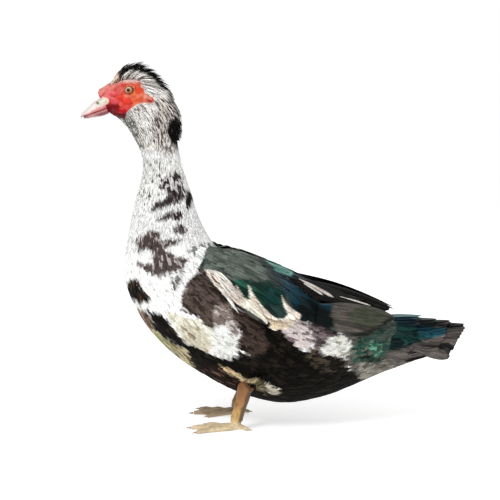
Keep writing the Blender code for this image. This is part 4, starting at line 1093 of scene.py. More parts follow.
FACE = [
    Zone("face", (228, 84, 62), (212, 58, 44), 0.4, 0.0, None),
    Zone("brow", (246, 200, 192), (250, 218, 210), 0.4, 0.0, [
        (98, 88), (106, 82), (118, 72), (127, 70), (137, 74), (148, 88), (142, 88), (137, 83.5), (127, 83),
        (119, 82.5), (112, 86), (106, 90), (100, 93)]),
    Zone("muzzle", (232, 124, 118), (238, 144, 136), 0.4, 0.0, [
        (100, 91), (112, 93), (113, 98.6), (108, 99.4), (103, 98), (99, 99)]),
    Zone("rear face", (240, 124, 86), (232, 96, 66), 0.4, 0.0, [
        (131, 92), (140, 90), (156, 94), (156, 106), (140, 106), (132, 108), (130, 100)]),
    Zone("front crimson", (128, 4, 18), (96, 0, 10), 0.4, 0.0, [
        (106, 103), (112, 103.5), (118, 107), (124, 111), (130, 112), (129, 119), (116, 121), (105, 113)]),
    # Painted shadow under the bill's root at the gape
    Zone("gape shadow", (84, 4, 14), (60, 2, 8), 0.3, 0.0, [
        (104, 111.5), (112, 113), (117, 115), (127, 115.5), (127, 120), (116, 120), (106, 114)]),
]
# The pale horn of the bill's root, round which the mask ends, and the x where it ends behind
ROOT_HORN = [(98, 99), (103, 97), (108, 98.3), (109, 101), (107.6, 104), (102, 107)]
ROOT_COLOUR, ROOT_BEHIND = (238, 228, 206), -215
# Bare skin lies above this height; above the brow line, in pixels, it is pale pink
BARE_ABOVE, BROW_LINE, BROW_PINK = 395, 81.8, (246, 206, 198)
# Painted shade for hollows, deep creases and slopes facing away from the light, painted highlight for
# slopes that face the light, and how sharply a fold's colour ends
CREASE_SHADE, SHEEN_HIGHLIGHT, FOLD_EDGE = (118, 6, 16), (252, 158, 148), 5.0
# A step in the side view towards the lower right, away from the light
LIT_FROM = np.array([0.5, 0.95])
# Beads in a ring round the eye and along the mask's edge, in side-view pixels
RING_BEADS, RING_AT, RING_REACH = 26, (129, 89.5), (8.6, 7.4)
EDGE_BEADS, EDGE_TOWARDS = 110, np.array([125, 97])
BILL = [
    Zone("bill", (240, 226, 220), (228, 200, 194), 0.3, 0.0, None),
    Zone("bill root", (244, 240, 218), (232, 222, 194), 0.3, 0.0, [
        (103, 95), (110, 95), (112, 101), (108, 105), (103, 103)]),
    Zone("nostril edge", (218, 216, 198), (204, 200, 182), 0.3, 0.0, [
        (97, 101), (102, 99), (105, 102), (101, 106), (96, 106)]),
    Zone("pink root", (226, 124, 122), (204, 96, 98), 0.4, 0.0, [
        (104, 105), (112, 103), (114, 110), (105, 111), (98, 112), (94, 113), (99, 109)]),
    Zone("pink edge", (224, 150, 150), (206, 120, 122), 0.4, 0.0, [
        (84, 115), (92, 111), (100, 107), (104, 108), (104, 112), (94, 114), (86, 117.5)]),
    Zone("lower root", (96, 16, 22), (64, 8, 12), 0.4, 0.0, [
        (94, 115), (101, 112.6), (108, 110.5), (118, 110), (118, 120), (104, 117)]),
    Zone("nail", (118, 104, 100), (84, 74, 70), 0.4, 0.0, [
        (79, 117.2), (83.5, 115.2), (87, 115.8), (90, 117.4), (84, 119.5), (79, 119)]),
]


def fold_heights(seen, folds):
    """Height in mm of each fold at side-view places: round on top and nothing outside it."""
    rows = []
    for x, y, long, high, tall, turn, _ in folds:
        c, s = math.cos(math.radians(turn)), math.sin(math.radians(turn))
        dx, dy = seen[:, 0] - x, seen[:, 1] - y
        r = ((dx * c + dy * s) / long) ** 2 + ((dy * c - dx * s) / high) ** 2
        rows.append(tall * np.maximum(0, 1 - r) ** 0.85)
    return np.array(rows)


def face_relief(seen):
    """Height of the face's skin: the highest of its folds and caruncles at each place."""
    return np.maximum(fold_heights(seen, FOLDS).max(axis=0), fold_heights(seen, BEADS).max(axis=0))


def face_view(points):
    """Side-view places on the face, wavering so that no fold has a ruled edge."""
    waver = [noise(points, 5, seed) + 0.5 * noise(points, 2, seed + 1) - 0.75 for seed in (61, 63)]
    return side_view(points) + 2.0 * np.stack(waver, axis=-1)


def face_colour(points):
    """Each fold's own colour, with painted shade below it and in creases and a painted highlight where it
    faces up and forwards.
    """
    seen = face_view(points)
    heights = fold_heights(seen, FOLDS)
    base, _ = paint(points, FACE, None, 0.8, 2.0)
    share = np.exp(FOLD_EDGE * heights / np.array([fold.tall for fold in FOLDS])[:, None]) - 1
    tints = linear([fold.colour for fold in FOLDS])
    colour = (base + share.T @ tints) / (1 + share.sum(axis=0))[:, None]
    top = face_relief(seen)
    slope = (face_relief(seen + LIT_FROM) - face_relief(seen - LIT_FROM)) / 2
    low = 1 - smooth(top, 0.0, 0.9)
    # Painted shade in the hollows and on slopes away from the light
    colour = colour + (linear(CREASE_SHADE) - colour) * (0.1 * low + 0.8 * smooth(-slope, 0.25, 1.5))[:, None]
    bright = 0.25 + 0.75 * smooth(colour[:, 0], 0.2, 0.8)
    # Painted highlight on slopes that face the light, fainter on the darker folds
    colour = colour + (linear(SHEEN_HIGHLIGHT) - colour) * (0.75 * bright * smooth(slope, 0.35, 1.7))[:, None]
    above = smooth(BROW_LINE - seen[:, 1], -1.3, 1.3) * smooth(seen[:, 0], 114, 119)
    colour = colour + (linear(BROW_PINK) - colour) * above[:, None]
    return colour * (0.9 + 0.2 * noise(points, 4, 63))[:, None]


def face_beads(draw):
    """Small caruncles: a ring round the eye and a scatter along the mask's edge."""
    beads = []
    for k in range(RING_BEADS):
        turn = 2 * math.pi * k / RING_BEADS
        x, y = RING_AT[0] + RING_REACH[0] * math.cos(turn), RING_AT[1] + RING_REACH[1] * math.sin(turn)
        beads.append(Fold(
            x + draw.normal(0, 0.3), y + draw.normal(0, 0.3),
            draw.uniform(1.1, 1.7), draw.uniform(0.9, 1.3), draw.uniform(0.6, 1.1),
            draw.uniform(0, 180), None))
    corners = np.array(MASK, float)
    for _ in range(EDGE_BEADS):
        spot = draw.random() * len(corners)
        i = int(spot)
        edge = corners[i] + (corners[(i + 1) % len(corners)] - corners[i]) * (spot - i)
        place = edge + (EDGE_TOWARDS - edge) * draw.uniform(0.03, 0.35)
        beads.append(Fold(
            *place, *draw.uniform(0.7, 1.7, 2), draw.uniform(0.45, 1.1), draw.uniform(0, 180), None))
    return beads


BEADS = face_beads(np.random.default_rng(5))


def read(items, key, width=3, kind=np.float32):
    flat = np.empty(len(items) * width, kind)
    items.foreach_get(key, flat)
    return flat


def face_outwards():
    """Turns the active mesh's faces outwards and shades it smooth."""
    bpy.ops.object.mode_set(mode="EDIT")
    bpy.ops.mesh.select_all(action="SELECT")
    bpy.ops.mesh.normals_make_consistent(inside=False)
    bpy.ops.object.mode_set(mode="OBJECT")
    bpy.ops.object.shade_smooth()


def wrapped(name, rows, columns, shape):
    """A sheet rolled into a closed form: shape(a, b) gives places for a along and b round it."""
    bpy.ops.mesh.primitive_grid_add(x_subdivisions=rows, y_subdivisions=columns, size=1)
    made = bpy.context.object
    made.name = made.data.name = name
    flat = read(made.data.vertices, "co").reshape(-1, 3).astype(float)
    a, b = flat[:, 0] + 0.5, flat[:, 1] + 0.5
    loops = read(made.data.loops, "vertex_index", 1, np.int32)
    uv = made.data.uv_layers[0]
    uv.name = "OFBake"
    uv.data.foreach_set("uv", unwrap(b[loops], a[loops]).astype(np.float32).ravel())
    move_to(made, shape(a, b))
    bpy.ops.object.mode_set(mode="EDIT")
    bpy.ops.mesh.select_all(action="SELECT")
    bpy.ops.mesh.remove_doubles(threshold=1e-6)
    bpy.ops.mesh.select_all(action="DESELECT")
    bpy.ops.mesh.select_mode(type="EDGE")
    bpy.ops.mesh.select_non_manifold()
    bpy.ops.mesh.fill_holes(sides=0)
    face_outwards()
    return made


def places_of(made):
    return read(made.data.vertices, "co").reshape(-1, 3).astype(float) / MM


def move_to(made, places):
    made.data.vertices.foreach_set("co", (places * MM).astype(np.float32).ravel())
    made.data.update()


def select_only(*chosen):
    bpy.ops.object.select_all(action="DESELECT")
    for made in chosen:
        made.select_set(True)
    bpy.context.view_layer.objects.active = chosen[0]


def join(pieces, name):
    select_only(*pieces)
    bpy.ops.object.join()
    made = bpy.context.object
    made.name = made.data.name = name
    return made


def finish_with(made, kind, **values):
    """Adds a modifier with its values and applies it."""
    select_only(made)
    modifier = made.modifiers.new(kind.lower(), kind)
    for label, value in values.items():
        setattr(modifier, label, value)
    bpy.ops.object.modifier_apply(modifier=modifier.name)


# Where the skin starts, by station, a hollow for each eye and the rim round it, by distance from
# the eye's middle
SKIN_FRONT = -0.35
SOCKET_FROM, SOCKET_TO, SOCKET_DEEP = 4.2, 6.6, 3.5
RIM_AT, RIM_WIDE, RIM_HIGH = 8.2, 1.5, 0.9


def skin_shape(a, b):
    """The skin: inside the coat by its depth, bare and folded on the face."""
    u = np.interp(a, [0, 0.55, 1], [SKIN_FRONT, HEAD_END, TORSO_END])
    place, _, _, normal = frames(body, u, b)
    seen = side_view(place)
    flank = np.abs(place[:, 1]) / np.maximum(catmull(STATIONS, u)[:, 4], 1)
    bare = smooth(depth_in(seen, MASK), -1.0, 1.0) * smooth(flank, 0.2, 0.5) * (u < HEAD_END)
    relief = face_relief(face_view(place)) + 0.6 * (noise(place, 2.2, 21) - 0.5)
    relief = relief + 0.3 * (noise(place, 0.9, 22) - 0.5)
    wrinkle = np.abs(noise(place * [0.35, 1, 1], 1.6, 23) - 0.5)
    relief = relief - 0.9 * (0.25 - np.minimum(wrinkle, 0.25)) * 2
    off = np.hypot(place[:, 0] - EYE_AT[0], (place[:, 2] - EYE_AT[1]) * 1.1)
    face = (u < HEAD_END) & (np.abs(place[:, 1]) > 8)
    socket = np.where(face, 1 - smooth(off, SOCKET_FROM, SOCKET_TO), 0)
    rim = np.where(face, RIM_HIGH * np.exp(-((off - RIM_AT) / RIM_WIDE) ** 2), 0)
    lift = relief * bare * (1 - socket) + rim * bare - SOCKET_DEEP * socket
    depth = coat_depth(u) * (1 - bare)
    return place + normal * (lift - depth)[:, None]


def make_skin(finish):
    """The bird's flesh from bill root to tail root and both thighs, one piece under the coat."""
    skin = wrapped("skin", 440, 200, skin_shape)
    points = places_of(skin)
    colour, _ = paint(points, PLUMAGE)
    seen = side_view(points)
    above = points[:, 2] > BARE_ABOVE
    bare = smooth(depth_in(seen, MASK), -0.6, 1.4) * above
    # Under the coat the skin takes the plumage's colours, painted darker as shade between the feathers,
    # less so under pale ones
    colour = colour * (0.7 + 0.28 * smooth(colour[:, 1], 0.2, 0.6))[:, None]
    colour = colour + (face_colour(points) - colour) * bare[:, None]
    horn = smooth(depth_in(seen, ROOT_HORN), -0.7, 0.7) * above * (points[:, 0] < ROOT_BEHIND)
    colour = colour + (linear(ROOT_COLOUR) - colour) * horn[:, None]
    colour_in(skin, colour)
    thighs = [thigh_skin(side) for side, _ in SIDES]
    for thigh in thighs:
        spots = places_of(thigh)
        knee = (1 - smooth(spots[:, 2], 64, 72))[:, None]
        # The thigh's flesh is painted at half the plumage's colour, as shade under its feathers; the knee
        # takes the hock's own brown
        colour_in(thigh, paint(spots, PLUMAGE)[0] * 0.5 * (1 - knee) + linear(HOCK_BROWN) * knee)
    skin = join([skin] + thighs, "skin")
    dress(skin, finish, "body")
    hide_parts("head", "neck", "torso", "thigh_left", "thigh_right")
    return skin


def along_path(path, radii):
    """The surface of a tube: a along the path from 0 to 1, b round it."""
    path, radii = np.array(path, float), np.array(radii, float)[:, None]

    def surface(a, b):
        at = np.asarray(a) * (len(path) - 1)
        centre, radius = catmull(path, at), np.maximum(catmull(radii, at), 0.05)
        ahead = unit(catmull(path, at + 0.05) - catmull(path, at - 0.05))
        side = unit(np.cross(ahead, np.array([0.02, 0.03, 1.0])))
        up = np.cross(side, ahead)
        turn = 2 * math.pi * np.asarray(b)[..., None]
        return centre + radius * (side * np.cos(turn) + up * np.sin(turn))

    return surface


def beside(point, out, side):
    """The place at (x, z), so far out to one side."""
    return np.array([point[0], side * out, point[1]], float)


def hock_of(side):
    return beside(LEFT_HOCK if side < 0 else RIGHT_HOCK, FOOT_OUT, side)


def thigh_path(side):
    return [hock_of(side) + np.array([x, side * out, z]) for x, out, z in THIGH_PATH]


THIGH_COUNT, THIGH_FEATHER, HOCK_BROWN = 760, 11.0, (104, 68, 36)
# How deep the thigh's flesh lies under its feathers, and at the hock
THIGH_COAT, HOCK_COAT = 2.5, 0.6


def thigh_skin(side):
    radii = [r - THIGH_COAT for r in THIGH_RADII[:-1]] + [THIGH_RADII[-1] - HOCK_COAT]
    return wrapped("thigh", 24, 24, along_path(thigh_path(side), radii))


def thigh_batch(side, draw):
    """Soft feathers over one thigh, down to a ragged edge above the hock."""
    path = thigh_path(side)
    surface = along_path(path, THIGH_RADII)
    a, b = 0.2 + 0.56 * draw.random(THIGH_COUNT), draw.random(THIGH_COUNT)
    place = surface(a, b)
    middle = catmull(np.array(path, float), a * (len(path) - 1))
    normal = unit(place - middle)
    ahead = unit(surface(a + 0.02, b) - surface(a - 0.02, b))
    order = np.argsort(a)
    a, b, place, normal, ahead = a[order], b[order], place[order], normal[order], ahead[order]
    length = THIGH_FEATHER - 5 * smooth(a, 0.5, 0.76)[:, None]
    length = length * draw.uniform(0.7, 1.25, (THIGH_COUNT, 1))
    stray = draw.normal(0, 0.9, (THIGH_COUNT, 3))
    tip = place + ahead * length + normal * draw.uniform(-0.6, 1.0, (THIGH_COUNT, 1)) + stray
    uv = unwrap(b, a, 0.05)
    root = place - normal * 2.4
    return straight_batch(SMALL, root, tip, normal, 5.0, PLUMAGE, draw, 0.0, 0.4, root_uv=uv)


CREST_COUNT = 960
# Over the bare mask the crest keeps to this share of a turn from the crown's middle
CREST_CLEAR = 0.064
CREST_LEAF = Leaf(6, 2, 0.35, 0.7, 0.0, 0.1)
# By station: how far the crest spreads round the head, its length, and how high it stands (mm)
CREST_SPREAD = ([0.4, 1.7, 3, 6, 8.3], [0.055, 0.09, 0.125, 0.11, 0.09])
CREST_LENGTH = ([0.4, 1.2, 1.8, 2.6, 5, 7, 8.3], [6, 10, 17, 25, 21, 15, 10])
CREST_STAND = ([0.4, 1.1, 1.5, 1.9, 2.6, 4, 6, 7.2, 8.3], [2.0, 5.5, 12.0, 17.5, 18.5, 11.5, 8.0, 12, 8.5])


def make_crest(finish, draw):
    """The crest: narrow feathers over crown and nape, short and bristly on the forehead."""
    u = 0.4 + 7.9 * draw.random(CREST_COUNT)
    v = np.clip(draw.normal(0, 0.5, CREST_COUNT), -1, 1) * np.interp(u, *CREST_SPREAD)
    clear = (np.abs(v) < CREST_CLEAR) | (depth_in(side_view(frames(body, u, v)[0]), MASK) < 0)
    u, v = u[clear], v[clear]
    count = len(u)
    spot, along, across, normal = frames(body, u, v)
    length = np.interp(u, *CREST_LENGTH) * draw.uniform(0.75, 1.1, count)
    stand = np.interp(u, *CREST_STAND) * draw.uniform(0.6, 1.0, count)
    stand *= np.cos(2 * math.pi * v) ** 1.2
    s = CREST_LEAF.s
    back = unit(along + across * draw.normal(0, 0.003, count)[:, None])
    centre = (
        spot[:, None] - normal[:, None] * 1.2
        + back[:, None] * (length[:, None] * (0.25 * s + 0.75 * s * s))[..., None]
        + normal[:, None] * (stand[:, None] * np.sin(0.5 * math.pi * s))[..., None]
    )
    aside = np.cross(normal, back)
    centre += aside[:, None] * (draw.normal(0, 1.3, count)[:, None] * s * s)[..., None]
    out = normal[:, None] - back[:, None] * (0.9 * (1 - s))[None, :, None]
    wide = draw.uniform(2.2, 4.0, count) * np.interp(u, [0.4, 2], [0.6, 1.0])
    verts = lay(CREST_LEAF, centre, out, wide, np.full(count, 0.5), 0.25)
    colour, gloss = paint(verts, CREST, draw, 1.2, 1.6)
    uv = unwrap(v % 1.0, u / TORSO_END)
    batch = Batch(CREST_LEAF, verts, colour, gloss, uv, length, wide, draw)
    feather_piece("crest", [batch], finish, "head")


def straight_batch(
        leaf, root, tip, normal, width, zones, draw, arch=0.0, thick=1.4, tilt=0.0, droop=0.06,
        root_uv=None, soft=1.0, melt=None):
    """Stiff feathers on their own lines from root to tip, their middles raised by arch."""
    n = len(root)
    centre = between((root[:, None], tip[:, None]), leaf.s[None, :, None])
    centre[..., 2] += arch * np.sin(math.pi * leaf.s)
    out = np.broadcast_to(np.asarray(normal).reshape(-1, 1, 3), centre.shape)
    wide = width * draw.uniform(0.93, 1.07, n)
    verts = lay(leaf, centre, out, wide, np.full(n, thick), droop, tilt)
    colour, gloss = paint(verts, zones, draw, 1.5, soft, melt)
    length = np.linalg.norm(tip - root, axis=-1)
    if root_uv is None:
        root_uv = unwrap((root[:, 1] + 80) / 160, (root[:, 0] + 20) / 300, 0.05)
    return Batch(leaf, verts, colour, gloss, root_uv, length, wide, draw)


# Rows of tail feathers: where the middle one's root and tip are, how far out to a side, down and
# forwards the outermost one's are, the arch of each, the rise towards the middle and the lean
Fan = namedtuple("Fan", "count root_x root_out root_z root_drop tip_x tip_out tip_z tip_drop tip_back"
                        " arch stack lean width thick")
FANS = [
    Fan(21, 170, 16, 132, 12, 261, 54, 131, 30, 29, 2, 5.0, 0.9, 26, 1.0),
    Fan(17, 164, 19, 137, 12, 240, 43, 137, 27, 18, 1, 4.0, 0.9, 22, 0.8),
    Fan(15, 152, 22, 142, 12, 222, 38, 140, 27, 12, 1, 3.0, 0.8, 20, 0.8),
    Fan(13, 140, 25, 145, 12, 200, 34, 145, 22, 10, 2, 2.5, 0.8, 19, 0.8),
    Fan(13, 178, 16, 97, -6, 234, 40, 105, -6, 16, -2, -3.0, -0.6, 22, 0.8),
    Fan(11, 158, 22, 84, -8, 218, 36, 98, -8, 12, -2, -2.0, -0.6, 20, 0.8),
]
# Soft feathers on each side of the tail's root: count, span along it, and by place along it the
# heights between which they grow and how far out they are
FLANK_COUNT, FLANK_FROM, FLANK_SPAN = 260, 150, 52
FLANK_HIGH, FLANK_LOW = ([150, 200], [140, 130]), ([150, 200], [78, 108])
FLANK_OUT = ([150, 205], [40, 24])


def make_tail(finish, core_finish, draw):
    batches = []
    for fan in FANS:
        across = np.linspace(-1, 1, fan.count)
        bow = np.abs(across) ** 1.6
        root = np.stack([
            np.full(fan.count, fan.root_x), fan.root_out * across,
            fan.root_z - fan.root_drop * bow], axis=-1)
        tip = np.stack([
            fan.tip_x - fan.tip_back * bow + draw.uniform(-2, 2, fan.count), fan.tip_out * across,
            fan.tip_z - fan.tip_drop * bow + fan.stack * (1 - np.abs(across))], axis=-1)
        lean = np.stack([0 * across, fan.lean * across + 0.12 * np.sign(across), 0 * across + 1], axis=-1)
        batches.append(straight_batch(
            VANE, root, tip, unit(lean), fan.width, TAIL, draw, fan.arch, fan.thick, soft=3.0, melt=5.5))
    zones = TAIL[:1] + PLUMAGE[1:] + TAIL[1:]
    for side, _ in SIDES:
        up = draw.random(FLANK_COUNT)
        x = FLANK_FROM + FLANK_SPAN * draw.random(FLANK_COUNT)
        high, low, wide = (np.interp(x, *table) for table in (FLANK_HIGH, FLANK_LOW, FLANK_OUT))
        z = low + (high - low) * up
        off = z - (high + low) / 2
        y = side * wide * np.sqrt(np.maximum(0.05, 1 - (off / (high - low) * 2) ** 2))
        root = np.stack([x, y, z], axis=-1)
        tip = root + np.stack([
            draw.uniform(20, 30, FLANK_COUNT), side * draw.uniform(-2, 3, FLANK_COUNT),
            np.interp(z, [80, 140], [7, -3])], axis=-1)
        normal = unit(np.stack([0 * x, y / 30, off / 30], axis=-1))
        batches.append(straight_batch(
            SOFT, root, tip, normal, 12.0, zones, draw, 0.0, 0.7, soft=3.0, melt=5.0))
    tail = feather_piece("tail_feathers", batches, finish, "tail")
    core = wrapped("tail_core", 30, 40, core_shape)
    # The tail's flesh is painted at half the plumage's colour, as shade between the feathers
    colour_in(core, paint(places_of(core), PLUMAGE + TAIL[1:])[0] * 0.5)
    dress(core, core_finish, "tail")
    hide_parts("tail")


# The tail's flesh, root to tip: top x, z, bottom x, z, half width
TAIL_CORE = np.array([
    (150, 148, 150, 72, 40), (164, 144, 174, 81, 31), (182, 143, 190, 89, 29), (199, 140, 203, 101, 22),
    (214, 134, 215, 114, 12), (222, 127, 222, 121, 4)], float)


def core_shape(a, b):
    row = catmull(TAIL_CORE, a * (len(TAIL_CORE) - 1))
    turn = 2 * math.pi * b
    flat = section(row, turn, 0.6)
    return np.stack([flat[:, 0], (row[:, 4] - 1) * np.sin(turn), flat[:, 1]], axis=-1)


# The upper and lower edge of a folded wing's flesh, in degrees from the back, and its span in mm
WING_CORE = np.array([(42, 62), (24, 82), (20, 96), (18, 94), (20, 78)], float)
CORE_FROM, CORE_SPAN = 14, 176


def wing_core(side):
    """The soft body of one folded wing, seen only between its feathers."""
    def shape(a, b):
        far = CORE_FROM + CORE_SPAN * a
        high, low = catmull(WING_CORE, a * (len(WING_CORE) - 1)).T
        over = b < 0.5
        s = np.where(over, b * 2, 2 - b * 2)
        angle = high + (low - high) * s
        swell = np.sin(math.pi * np.clip(s, 0, 1)) ** 0.5 * smooth(a, 0, 0.15)
        lift = np.where(over, 1.6 + (2.4 - 1.2 * a) * swell, 1.2)
        place, _, _, normal = frames(wing_back, far, -angle / WING_TURN, *WING_STEPS[:2])
        return (place + normal * lift[:, None]) * [1, -side, 1]

    core = wrapped("wing_core", 60, 48, shape)
    # The wing's flesh is painted a fifth darker than its markings, as shade between the feathers
    colour_in(core, paint(places_of(core), FLIGHT)[0] * 0.8)
    return core


# The longest feathers, black: roots and tips of the first and the last, and where between them
# the second one's tip lies
PRIMARY_ROOTS = np.array([(22.0, -28, 203), (52, -46, 181)])
PRIMARY_TIPS = np.array([(162.0, -8, 159), (116, -34, 162)])
PRIMARY_COUNT, SECOND_TIP = 6, 0.68
PRIMARY_WIDTHS = np.array([10.5] + [15.0] * (PRIMARY_COUNT - 1))
PRIMARY_LEAF = Leaf(12, 6, 0.45, 0.6, 0.008, 0.1)
FLIGHT_BLACK = [Zone("primaries", (10, 8, 7), (26, 20, 17), 0.25, 0.2, None)]
# The last inner feathers: broad and grey, folded over the side of the rump
TERTIAL_ROOTS = np.array([(60.0, -60, 170), (56, -66, 155)])
TERTIAL_TIPS = np.array([(161.0, -34, 151), (132, -46, 136)])
TERTIAL_COUNT, TERTIAL_WIDTH = 4, 24
# Narrow pale edges among the black feathers, lower on the right side
PALE_ROOTS = np.array([(34.0, -48, 206), (40, -48, 200), (88, -46, 182)])
PALE_TIPS = np.array([(80.0, -47, 181), (66, -48, 184), (130, -37, 168)])
PALE_WIDTHS, PALE_DROP = np.array([4.4, 3.0, 2.0]), 14
PALE_LEAF = Leaf(8, 4, 0.8, 0.3, 0.0, 0.12)
FLIGHT_PALE = [Zone("pale vane", (226, 220, 214), (190, 182, 176), 0.3, 0.0, None)]


def primary_batches(draw, side):
    """The black flight feathers over the rump, the grey inner ones and the pale edges below them."""
    root = between(PRIMARY_ROOTS, np.linspace(0, 1, PRIMARY_COUNT)[:, None])
    # The longest feather ends well behind the rest, which end close together
    share = np.concatenate([[0], np.linspace(SECOND_TIP, 1, PRIMARY_COUNT - 1)])[:, None]
    tip, normal = between(PRIMARY_TIPS, share), unit(np.array([0.1, -0.6, 1.0]))
    black = straight_batch(
        PRIMARY_LEAF, root, tip, normal, PRIMARY_WIDTHS, FLIGHT_BLACK, draw, 5.5, 1.2, 0.08)
    share = np.linspace(1, 0, TERTIAL_COUNT)[:, None]
    root, tip = between(TERTIAL_ROOTS, share), between(TERTIAL_TIPS, share)
    normal = unit(np.array([0.15, -0.8, 0.6]))
    inner = straight_batch(
        VANE, root, tip, normal, TERTIAL_WIDTH, FLIGHT, draw, 2.0, 1.2, 0.04, 0.25, melt=6.0)
    drop = np.array([0, 0, PALE_DROP if side > 0 else 0])
    root, tip, normal = PALE_ROOTS - drop, PALE_TIPS - drop, unit(np.array([0.1, -1.0, 0.6]))
    pale = straight_batch(PALE_LEAF, root, tip, normal, PALE_WIDTHS, FLIGHT_PALE, draw, 0.5, 0.9)
    return [black, inner, pale]


# Head pieces
def bill_shape(stations, upper):
    """One half of the bill through its stations, the upper one with nostrils and a nail."""
    def shape(a, b):
        row = catmull(stations, a * (len(stations) - 1))
        turn = 2 * math.pi * b
        flat, s = section(row, turn, row[:, 5:6]), np.sin(turn)
        out = row[:, 4] * np.sign(s) * np.abs(s) ** 0.75
        tip = smooth(a, 0.93, 1.0)
        place = np.stack([flat[:, 0], out * (1 - 0.5 * tip), flat[:, 1]], axis=-1)
        if not upper:
            return place
        x, z = place[:, 0] - NOSTRIL_AT[0], place[:, 2] - NOSTRIL_AT[1]
        c, s = math.cos(NOSTRIL_TURN), math.sin(NOSTRIL_TURN)
        r = np.hypot((x * c - z * s) / NOSTRIL_RADII[0], (x * s + z * c) / NOSTRIL_RADII[1])
        flank = np.abs(place[:, 1]) > 4
        sink = np.where(flank, -2.6 * (1 - smooth(r, 0.5, 1.0)) + 0.5 * np.exp(-((r - 1.3) / 0.3) ** 2), 0)
        nail = 0.45 * smooth(-250.5 - place[:, 0], 0, 1.2) * smooth(np.cos(turn), 0.1, 0.6)
        place[:, 1] += np.sign(place[:, 1]) * sink
        place[:, 2] += nail * 0.6
        return place

    return shape


# Where the upper half's cutting edge runs, below which it is painted darker as shade, and the tone that the
# lower half is mixed with
BILL_EDGE, LOWER_TONE = ([-256, -220], [416.4, 429.4]), (150, 70, 74)


def make_bill(finish):
    for name, stations, upper in (("bill_top", UPPER_BILL, True), ("bill_bottom", LOWER_BILL, False)):
        half = wrapped(name, 110, 90, bill_shape(stations, upper))
        points = places_of(half)
        colour, _ = paint(points, BILL, None, 0.7, 1.2)
        if upper:
            # Painted shade: dark inside the nostril, and darker on the upper half's underside below its
            # cutting edge, where it tucks over the lower half
            x, z = points[:, 0] - NOSTRIL_AT[0], points[:, 2] - NOSTRIL_AT[1]
            nostril_shade = (1 - smooth(np.hypot(x / 3.0, z / 2.2), 0.3, 0.8)) * (np.abs(points[:, 1]) > 3)
            colour *= (1 - 0.75 * nostril_shade)[:, None]
            edge = smooth(-0.3 - (points[:, 2] - np.interp(points[:, 0], *BILL_EDGE)), 0, 0.8)
            colour *= (1 - 0.35 * edge)[:, None]
        else:
            colour = colour + (linear(LOWER_TONE) - colour) * 0.6
        colour_in(half, colour)
        dress(half, finish, "bill_upper" if upper else "bill_lower")
        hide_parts("bill_upper" if upper else "bill_lower")


def knob_shape(a, b):
    """The caruncled knob at the bill's root, drawn out into a ridge up to the forehead."""
    place = along_path(KNOB_PATH, KNOB_RADII)(a, b)
    middle = catmull(np.array(KNOB_PATH, float), a * (len(KNOB_PATH) - 1))
    swell = 0.16 * (noise(place, 4.5, 31) - 0.5) + 0.14 * (noise(place, 2.0, 32) - 0.5)
    return middle + (place - middle) * (1 + swell)[:, None]


KNOB_PALE, KNOB_PINK, KNOB_LOW = (232, 146, 136), (224, 112, 108), (204, 60, 78)


def make_knob(finish):
    knob = wrapped("knob", 80, 56, knob_shape)
    points = places_of(knob)
    dark = smooth(noise(points, 2.4, 33), 0.4, 0.8)[:, None]
    line = np.interp(points[:, 0], [p[0] for p in KNOB_PATH], [p[2] for p in KNOB_PATH])
    low = smooth(line - points[:, 2], -1.5, 4.5)[:, None]
    colour = between((linear(KNOB_PALE), linear(KNOB_PINK)), dark)
    colour_in(knob, colour + (linear(KNOB_LOW) - colour) * low)
    dress(knob, finish, "head")


# The eye's tones, the iris's paler upper front being a painted highlight, and the angles from where it
# looks at which its parts end, in degrees
IRIS_HIGHLIGHT, IRIS_LOW, IRIS_INNER = (222, 192, 160), (190, 124, 62), (112, 88, 46)
PUPIL, EYE_RIM = (8, 7, 6), (84, 50, 26)
PUPIL_END, INNER_END, RIM_START, BULGE_END = (16.5, 18.5), (18, 30), (46, 52), 26.0
Lid = namedtuple("Lid", "major minor out wild tint")
LIDS = [Lid(5.15, 0.75, 19.7, 0.1, (118, 72, 44)), Lid(6.7, 1.25, 19.0, 0.5, (222, 108, 78))]


def make_eyeball(side, word, finish):
    """A ball with a bulging front, its pupil, iris and dark rim painted on, the iris with a painted
    highlight at its upper front.
    """
    bpy.ops.mesh.primitive_uv_sphere_add(segments=64, ring_count=48, radius=EYE_RADIUS * MM)
    ball = bpy.context.object
    ball.name = ball.data.name = "eyeball_" + word
    turn = Matrix.Rotation(side * math.pi / 2, 3, "X")
    spots = np.array([turn @ Vector(p) for p in places_of(ball)])
    look = unit(np.array([-0.16, side, 0.02]))
    aside = np.degrees(np.arccos(np.clip(unit(spots) @ look, -1, 1)))
    spots = spots + unit(spots) * (0.5 * np.exp(-(aside / BULGE_END) ** 4))[:, None]
    ring = np.degrees(np.arctan2(spots[:, 2], spots[:, 0]))
    streak = noise(np.stack([ring, aside * 0.3, 0 * ring], axis=-1), 9.0, 41)[:, None]
    # Painted highlight: the iris paler towards its upper front, where the light comes from
    low = smooth(spots[:, 0] - spots[:, 2], -5, 6)[:, None]
    iris = between((linear(IRIS_HIGHLIGHT), linear(IRIS_LOW)), low) * (0.75 + 0.5 * streak)
    inner = linear(IRIS_INNER)
    iris = inner + (iris - inner) * smooth(aside, *INNER_END)[:, None]
    colour = iris + (linear(PUPIL) - iris) * (1 - smooth(aside, *PUPIL_END))[:, None]
    colour = colour + (linear(EYE_RIM) - colour) * smooth(aside, *RIM_START)[:, None]
    colour_in(ball, colour)
    move_to(ball, spots + beside(EYE_AT, EYE_OUT, side))
    bpy.ops.object.shade_smooth()
    dress(ball, finish, "eye")
    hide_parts("eye_" + word)


